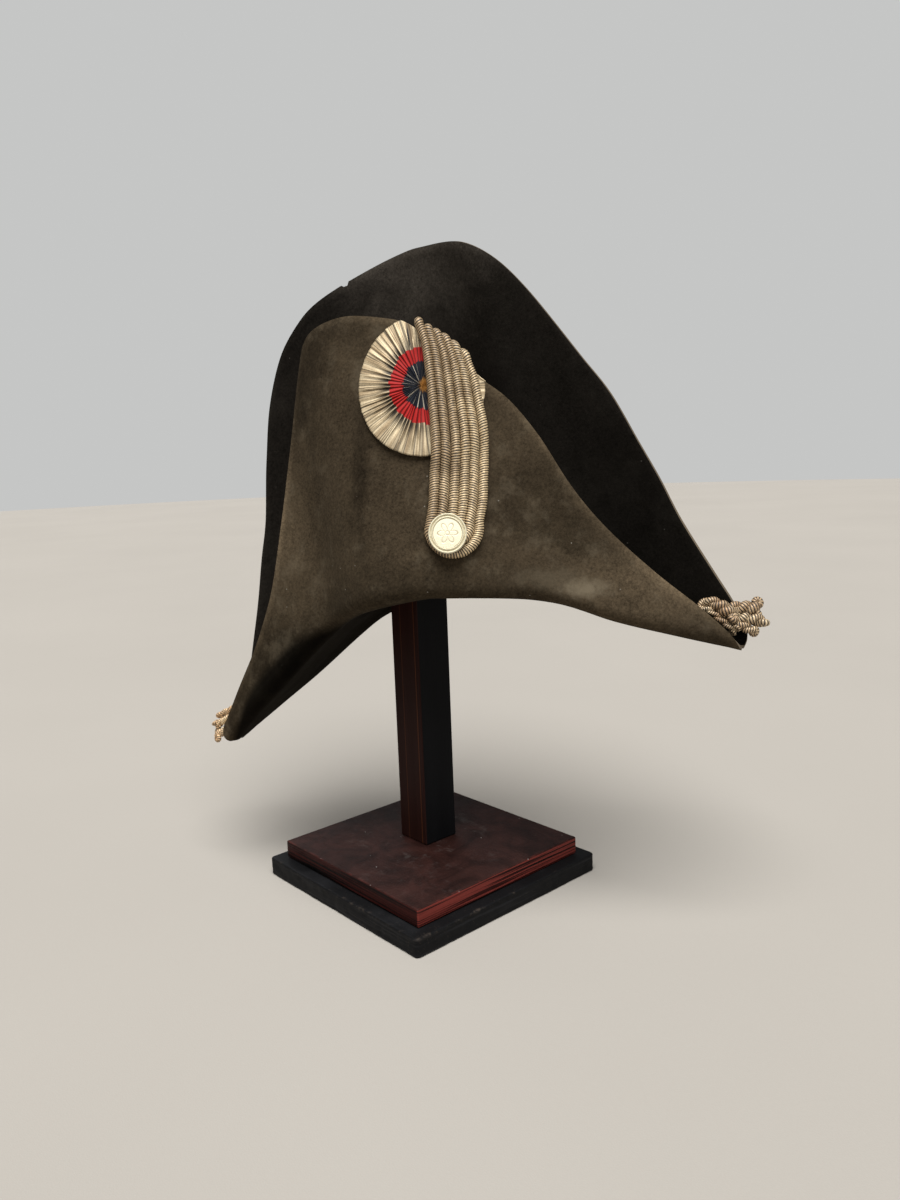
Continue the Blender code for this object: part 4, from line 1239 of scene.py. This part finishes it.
class BICORNE_OT_felt(bpy.types.Operator):
    """Makes the crown, the brim and both flaps from one sheet of felt"""

    bl_idname = "bicorne.felt"
    bl_label = "Felt"

    def execute(self, context):
        settings = context.scene.bicorne_felt
        for flap in (FRONT, REAR):
            flap.relief = settings.dents
        shares = np.linspace(0, 1, settings.columns + 1)
        nick = float(np.interp(NICK_SPAN, spline(REAR_EDGE, SCAN)[:, 0], SCAN))
        rear_shares = np.unique(np.concatenate((shares, nick + np.linspace(-NICK_REACH, NICK_REACH, 33))))
        rows = {"under_rows": 10, "fold_rows": 10, "wall_rows": 42}
        front = FRONT.ribs(shares, **rows)
        rear = REAR.ribs(rear_shares[::-1], **rows)
        points, from_edge, from_fold = (np.concatenate((a, b[1:])) for a, b in zip(front, rear))
        edit = mapped_grid(in_world(points), {"edge distance": from_edge, "fold distance": from_fold})
        bmesh.ops.remove_doubles(edit, verts=edit.verts, dist=COARSE_MERGE)
        distance = edit.verts.layers.float["edge distance"]
        crown = {vert for vert in edit.verts if abs(vert[distance] - FAR) < 1e-6}
        opening = [vert for vert in edit.verts if vert in crown and neighbours(vert) - crown]
        axes = {"use_axis_x": True, "use_axis_y": True, "use_axis_z": True}
        for _ in range(OPENING_SMOOTHING):
            bmesh.ops.smooth_vert(edit, verts=opening, factor=0.5, **axes)
        outside, inside = settings.outside[:], settings.inside[:]
        dust, inner_dust = settings.dust[:], settings.inner_dust[:]
        finishes = [
            felt_finish("faded felt", outside, dust, settings.wear_and_shade, 1.0, FELT_MARKS_AND_SHADE),
            felt_finish("dark felt", inside, inner_dust, 0.5 * settings.wear_and_shade, 0.35, INSIDE_MARKS_AND_SHADE),
            cut_edge_finish("cut felt edge", settings.cut_edge[:]),
        ]
        top = in_world((0.0, 0.0, CROWN_HEIGHT))
        felt = made("felt", edit, finishes, (top, (0.0, 0.0, -1.0)))
        slots = {"material_offset": 1, "material_offset_rim": 2}
        modify(felt, "felt thickness", "SOLIDIFY", thickness=FELT, offset=0.0, **slots)
        corners = {"limit_method": "ANGLE", "angle_limit": math.radians(60), "use_clamp_overlap": True}
        modify(felt, "eased edges", "BEVEL", width=EDGE_EASE, segments=2, **corners)
        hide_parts("felt_body")
        return {"FINISHED"}


class BICORNE_OT_cockade(bpy.types.Operator):
    """Makes the pleated ribbon disc on the front flap"""

    bl_idname = "bicorne.cockade"
    bl_label = "Cockade"

    def execute(self, context):
        settings = context.scene.bicorne_cockade
        chance = np.random.default_rng(PLEAT_SEED)
        widths = 1 + 0.7 * (chance.random(settings.pleats) - 0.5)
        starts = np.concatenate(([0.0], np.cumsum(widths))) / widths.sum()
        within = np.linspace(0, 1, PLEAT_STEPS + 1)[:-1]
        angles = np.concatenate([a + (b - a) * within for a, b in zip(starts, starts[1:])] + [[1.0]])
        pleat = np.concatenate((np.repeat(np.arange(settings.pleats), PLEAT_STEPS), [0]))
        within = np.concatenate((np.tile(within, settings.pleats), [0.0]))
        saw = np.where(within < PLEAT_TURN, within / PLEAT_TURN, (1 - within) / (1 - PLEAT_TURN))[:, None]
        size = (0.55 + 0.75 * chance.random(settings.pleats))[pleat][:, None]
        rim = (1 + 0.008 * (chance.random(settings.pleats) - 0.5))[pleat][:, None] + 0.004 * (saw - 0.5)
        dye = chance.random(settings.pleats)[pleat][:, None]
        theta = (2 * math.pi * angles - math.radians(COCKADE_SEAM))[:, None]
        reach = np.linspace(0.015, 1.0, COCKADE_RINGS)[None, :] * rim
        heights = COCKADE_HEIGHT + COCKADE_RADIUS * reach * np.sin(theta)
        across = COCKADE_RADIUS * COCKADE_BREADTH * reach * np.cos(theta)
        x = beside(COCKADE_X, heights, across, cockade_base())
        limit = front_edge_height(x) - FIT_GAP - (1 - np.minimum(reach, 1.0)) * COCKADE_RADIUS * 0.05
        rise = np.interp(reach, (0.0, 0.55, 0.75, 1.0), (0.25, 0.85, 0.60, 0.24))
        fold = saw * size * rise * (1 + 0.25 * np.sin(reach * 19 + dye * 40))
        tall = PLEAT_RISE - PLEAT_PRESSED * ramp(np.cos(theta), -0.25, 0.05)
        lower_left = np.clip(np.cos(theta - math.radians(COCKADE_CURL)), 0, 1) ** 2
        curl = settings.curl * lower_left * ramp(reach, 0.62, 1.02)
        proud = cockade_base() - PLEAT_HEIGHT + fold * tall + curl
        points = on_front(x, np.minimum(heights, limit), proud)
        spread = np.ones_like(reach)
        flat = np.stack((0.5 + 0.5 * reach * np.cos(theta), 0.5 + 0.5 * reach * np.sin(theta)), -1)
        strip = np.stack(((angles * settings.pleats)[:, None] * spread, reach), -1)
        floats = {"pleat": saw * spread, "dye": dye * spread}
        edit = mapped_grid(in_world(points), floats, {"disc": flat, "ribbon": strip})
        bmesh.ops.remove_doubles(edit, verts=edit.verts, dist=FINE_MERGE)
        middle = Vector(in_world(on_front(COCKADE_X, COCKADE_HEIGHT, cockade_base())))
        hole = [edge for edge in edit.edges if edge.is_boundary and (edge.verts[0].co - middle).length < 0.01]
        bmesh.ops.holes_fill(edit, edges=hole, sides=0)
        outward = (middle, HAT_TURN @ front_normal(COCKADE_X, COCKADE_HEIGHT))
        finish = ribbon_finish("pleated ribbon", settings)
        piece = made("cockade_ribbon", edit, [finish], outward)
        modify(piece, "ribbon thickness", "SOLIDIFY", thickness=RIBBON_THICKNESS, offset=-1.0)
        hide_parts("cockade")
        return {"FINISHED"}


class BICORNE_OT_loops(bpy.types.Operator):
    """Makes the three wound bullion cords that run over the cockade and the flap's edge"""

    bl_idname = "bicorne.loops"
    bl_label = "Loops"

    def execute(self, context):
        settings = context.scene.bicorne_loops
        finish = bullion_finish("loop bullion", settings, cleaner=12.0)
        pitch = CORD_DIAMETER + TRIM_GAP
        for index, (name, starts) in enumerate((("inner", -2), ("middle", 3), ("outer", -3))):
            route, places, size = evened(*loop_route(pitch * (index + 0.5)), THREAD_STEP, CORD_EASE)
            uneven = CORD_UNEVEN * np.sin(places * CORD_WAVE + index)
            radius = size * (CORD_DIAMETER / 2 + CORD_SWELL + uneven)
            radius += CORD_FRAY * ramp(size, 0.95, LOOP_TOP_SHARE)
            edit = wound_mesh(settings, (route, places, radius), starts, CORD_SIDES, index, COARSE_MERGE)
            piece = made(f"loop_{name}", edit, [finish])
            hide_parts(f"loop_cord_{name}")
        return {"FINISHED"}


class BICORNE_OT_button(bpy.types.Operator):
    """Makes the ringed button with its rosette, at the foot of the loops"""

    bl_idname = "bicorne.button"
    bl_label = "Button"

    def execute(self, context):
        settings = context.scene.bicorne_button
        radius = BUTTON_DIAMETER / 2
        edit = bmesh.new()
        dense = [BUTTON_PROFILE[0]]
        for (a, low), (b, high) in zip(BUTTON_PROFILE, BUTTON_PROFILE[1:]):
            count = max(1, int(abs(b - a) / 0.024))
            dense += [(a + (b - a) * i / count, low + (high - low) * i / count) for i in range(1, count + 1)]
        verts = [edit.verts.new((radius * reach, 0.0, BUTTON_THICKNESS * rise)) for reach, rise in dense]
        edges = [edit.edges.new(pair) for pair in zip(verts, verts[1:])]
        turn = {"cent": (0, 0, 0), "axis": (0, 0, 1), "angle": 2 * math.pi, "steps": BUTTON_STEPS}
        bmesh.ops.spin(edit, geom=verts + edges, use_merge=True, **turn)
        bmesh.ops.remove_doubles(edit, verts=edit.verts, dist=BUTTON_MERGE)
        hollow = edit.verts.layers.float.new("hollow")
        for vert in edit.verts:
            reach = math.hypot(vert.co.x, vert.co.y) / radius
            angle = math.atan2(vert.co.y, vert.co.x)
            vert[hollow] = 0.05
            for inner, outer, dirt in BUTTON_DIRT:
                if inner < reach < outer:
                    vert[hollow] = dirt
            if vert.co.z > 0.6 * BUTTON_THICKNESS and reach < ROSETTE_REACH:
                petal = abs(math.cos(settings.petals / 2 * angle))
                outline = 0.16 + 0.36 * petal
                cut = float(ramp(0.045 - abs(reach - outline), 0.0, 0.03))
                cut = max(cut, float(ramp(0.035 - abs(reach - ROSETTE_HEART), 0.0, 0.03)))
                vert.co.z -= ENGRAVING * cut
                vert[hollow] = 0.08 + 0.62 * cut
        x = loop_x(LOOP_FOOT_HEIGHT) + BUTTON_PLACE[0]
        height = LOOP_FOOT_HEIGHT + BUTTON_PLACE[1]
        proud = FELT / 2 + TRIM_GAP + CORD_DIAMETER + FIT_GAP + BUTTON_LIFT
        normal = Vector(HAT_TURN @ front_normal(x, height))
        normal.rotate(Matrix.Rotation(math.radians(BUTTON_TURN), 3, "Z"))
        place = Matrix.Translation(in_world(on_front(x, height, proud)))
        facing = normal.to_track_quat("Z", "Y").to_matrix().to_4x4()
        narrow = Matrix.Scale(BUTTON_BREADTH, 4, (1.0, 0.0, 0.0))
        bmesh.ops.transform(edit, matrix=place @ facing @ narrow, verts=edit.verts)
        finish = button_finish("silvered button", settings.metal[:], settings.dirt[:])
        piece = made("rosette_button", edit, [finish])
        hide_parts("button")
        return {"FINISHED"}


class BICORNE_OT_tassels(bpy.types.Operator):
    """Makes the bundles of wound bullions in the ends of the horns"""

    bl_idname = "bicorne.tassels"
    bl_label = "Tassels"

    def execute(self, context):
        settings = context.scene.bicorne_tassels
        # The tassels' metal grows darker towards the right: painted light on the left tassel, painted shade
        # on the right
        finish = bullion_finish("tassel bullion", settings, painted_light_slope=1.1)
        for side, bundle in (("left", LEFT_BULLIONS), ("right", RIGHT_BULLIONS)):
            whole = bmesh.new()
            whole.verts.layers.float.new("ridge")
            threads = []
            for index, rows in enumerate(bundle):
                threads += twisted(*bullion_route(rows), index * 1.3)
            for index, (axis, size) in enumerate(threads):
                route, places, size = evened(axis, size, THREAD_STEP, BULLION_EASE)
                uneven = 1.03 + 0.06 * np.sin(places * BULLION_WAVE + index * 2)
                radius = size * BULLION_DIAMETER / 2 * uneven
                starts = 2 if index % 2 else -1
                tube = (route, places, radius)
                edit = wound_mesh(settings, tube, starts, BULLION_SIDES, index * 1.7, FINE_MERGE)
                bmesh.ops.recalc_face_normals(edit, faces=edit.faces)
                thread = mesh_from("bullion", edit)
                whole.from_mesh(thread)
                bpy.data.meshes.remove(thread)
            piece = made(f"bullions_{side}", whole, [finish])
            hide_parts(f"tassel_{side}")
        return {"FINISHED"}


def worn_board(width, thickness):
    """A board with rounded corners, softened rims and rough, chipped sides, all inside its sawn size."""
    edit = bmesh.new()
    bmesh.ops.create_cube(edit, size=1.0)
    bmesh.ops.scale(edit, vec=(width, width, thickness), verts=edit.verts)
    upright = [edge for edge in edit.edges if abs(edge.verts[0].co.z - edge.verts[1].co.z) > thickness / 2]
    bevel = {"profile": 0.5, "affect": "EDGES", "material": -1}
    bmesh.ops.bevel(edit, geom=upright, offset=BOARD_CORNER, segments=5, **bevel)
    rims = [edge for edge in edit.edges if edge.calc_face_angle() > math.radians(60)]
    bmesh.ops.bevel(edit, geom=rims, offset=BOARD_RIM, segments=3, **bevel)
    for axis, cuts in BOARD_CUTS:
        normal = Vector((axis == 0, axis == 1, axis == 2))
        reach = (width, width, thickness)[axis] / 2
        for step in range(1, cuts):
            whole = edit.verts[:] + edit.edges[:] + edit.faces[:]
            where = normal * (reach * (2 * step / cuts - 1))
            bmesh.ops.bisect_plane(edit, geom=whole, dist=0.000001, plane_co=where, plane_no=normal)
    edit.normal_update()
    for vert in edit.verts:
        side = 1.0 - abs(vert.normal.z)
        x, y, z = vert.co
        plies = abs(noise.noise(Vector((x * 45, y * 45, z * 420))))
        chips = max(0.0, noise.noise(Vector((x * 150, y * 150, z * 150))) - 0.05)
        slow = abs(noise.noise(vert.co * 28))
        rough = side * (PLY_ROUGHNESS * plies + CHIP_DEPTH * chips) + BOARD_WAVES * slow
        vert.co -= vert.normal * rough
    bmesh.ops.rotate(edit, matrix=Matrix.Rotation(math.radians(STAND_TURN), 3, "Z"), verts=edit.verts)
    bmesh.ops.translate(edit, vec=(0.0, 0.0, thickness / 2), verts=edit.verts)
    return edit


class BICORNE_OT_stand(bpy.types.Operator):
    """Gives the boards and the post their stained wood, and the lower board its worn sides"""

    bl_idname = "bicorne.stand"
    bl_label = "Stand"

    def execute(self, context):
        settings = context.scene.bicorne_stand
        woods = {
            "upper_board": upper_board_finish("mahogany stain", settings.top[:], settings.edge[:]),
            "post": post_finish("laminated post", settings.post[:], settings.black[:], settings.glue[:]),
        }
        for node, finish in woods.items():
            board = frame["nodes"][node]
            if not board.material_slots:
                board.data.materials.append(finish)
            for material_slot in board.material_slots:
                material_slot.material = finish
        black = lower_board_finish("black stain", settings.black[:], settings.bare[:])
        worn = made("worn_lower_board", worn_board(LOWER_BOARD_WIDTH, BOARD_THICKNESS), [black])
        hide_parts("lower_board")
        return {"FINISHED"}


class BICORNE_OT_stage(bpy.types.Operator):
    """Sets up the floor, the light and the camera"""

    bl_idname = "bicorne.stage"
    bl_label = "Stage"

    def execute(self, context):
        settings = context.scene.bicorne_stage
        edit = bmesh.new()
        bmesh.ops.create_circle(edit, cap_ends=True, segments=96, radius=FLOOR_RADIUS)
        bmesh.ops.translate(edit, vec=(0.0, 0.0, -FIT_GAP), verts=edit.verts)
        mesh = mesh_from("floor", edit)
        mesh.materials.append(cloth_finish("pale cloth", settings.cloth[:]))
        floor = linked("floor", mesh)

        world = bpy.data.worlds.new("studio")
        world.use_nodes = True
        tree = world.node_tree
        fill = tree.nodes["Background"]
        fill.inputs["Color"].default_value = (*SKY, 1.0)
        fill.inputs["Strength"].default_value = settings.fill
        wall = tree.nodes.new("ShaderNodeBackground")
        wall.inputs["Color"].default_value = (*settings.wall, 1.0)
        seen = tree.nodes.new("ShaderNodeLightPath")
        mixed = tree.nodes.new("ShaderNodeMixShader")
        tree.links.new(seen.outputs["Is Camera Ray"], mixed.inputs["Fac"])
        tree.links.new(fill.outputs["Background"], mixed.inputs[1])
        tree.links.new(wall.outputs["Background"], mixed.inputs[2])
        tree.links.new(mixed.outputs["Shader"], tree.nodes["World Output"].inputs["Surface"])
        context.scene.world = world
        for name, where, strength in (
            ("key", KEY_FROM, settings.key),
            ("front", FRONT_FROM, settings.side),
            ("back", BACK_FROM, settings.side),
        ):
            lamp = bpy.data.lights.new(name, "SUN")
            lamp.angle = math.radians(LAMP_ANGLE)
            lamp.energy = strength
            linked(name, lamp).rotation_euler = Vector(where).to_track_quat("Z", "Y").to_euler()

        turn, tilt, roll = (math.radians(angle) for angle in (CAMERA_TURN, CAMERA_TILT, CAMERA_ROLL))
        ahead = Vector((-math.sin(turn) * math.cos(tilt), math.cos(turn) * math.cos(tilt), -math.sin(tilt)))
        right = Vector((math.cos(turn), math.sin(turn), 0.0))
        up = right.cross(ahead)
        level = Matrix((right, up, -ahead)).transposed()
        view = bpy.data.cameras.new("camera")
        view.lens = CAMERA_LENS
        view.sensor_width = CAMERA_SENSOR
        view.sensor_fit = "AUTO"
        camera = linked("camera", view)
        turned = (level @ Matrix.Rotation(roll, 3, "Z")).to_4x4()
        camera.matrix_world = Matrix.Translation(CAMERA_PLACE) @ turned
        context.scene.camera = camera
        context.scene.view_settings.view_transform = "Standard"
        return {"FINISHED"}


class BICORNE_PT_panel(bpy.types.Panel):
    """Lists the pieces of the bicorne with their sizes and colours"""

    bl_label = "Bicorne"
    bl_space_type = "VIEW_3D"
    bl_region_type = "UI"
    bl_category = "Bicorne"

    def draw(self, context):
        for operator, name, group in PIECES:
            box = self.layout.box()
            box.operator(operator.bl_idname)
            settings = getattr(context.scene, name)
            for field in group.__annotations__:
                box.prop(settings, field)


PIECES = (
    (BICORNE_OT_felt, "bicorne_felt", BicorneFeltSettings),
    (BICORNE_OT_cockade, "bicorne_cockade", BicorneCockadeSettings),
    (BICORNE_OT_loops, "bicorne_loops", BicorneLoopSettings),
    (BICORNE_OT_button, "bicorne_button", BicorneButtonSettings),
    (BICORNE_OT_tassels, "bicorne_tassels", BicorneTasselSettings),
    (BICORNE_OT_stand, "bicorne_stand", BicorneStandSettings),
    (BICORNE_OT_stage, "bicorne_stage", BicorneStageSettings),
)


def register():
    for operator, name, group in PIECES:
        bpy.utils.register_class(group)
        bpy.utils.register_class(operator)
        setattr(bpy.types.Scene, name, bpy.props.PointerProperty(type=group))
    bpy.utils.register_class(BICORNE_PT_panel)


def unregister():
    bpy.utils.unregister_class(BICORNE_PT_panel)
    for operator, name, group in reversed(PIECES):
        delattr(bpy.types.Scene, name)
        bpy.utils.unregister_class(operator)
        bpy.utils.unregister_class(group)


def main():
    register()
    bpy.ops.bicorne.felt()
    bpy.ops.bicorne.cockade()
    bpy.ops.bicorne.loops()
    bpy.ops.bicorne.button()
    bpy.ops.bicorne.tassels()
    bpy.ops.bicorne.stand()
    bpy.ops.bicorne.stage()


if __name__ == "__main__":
    main()
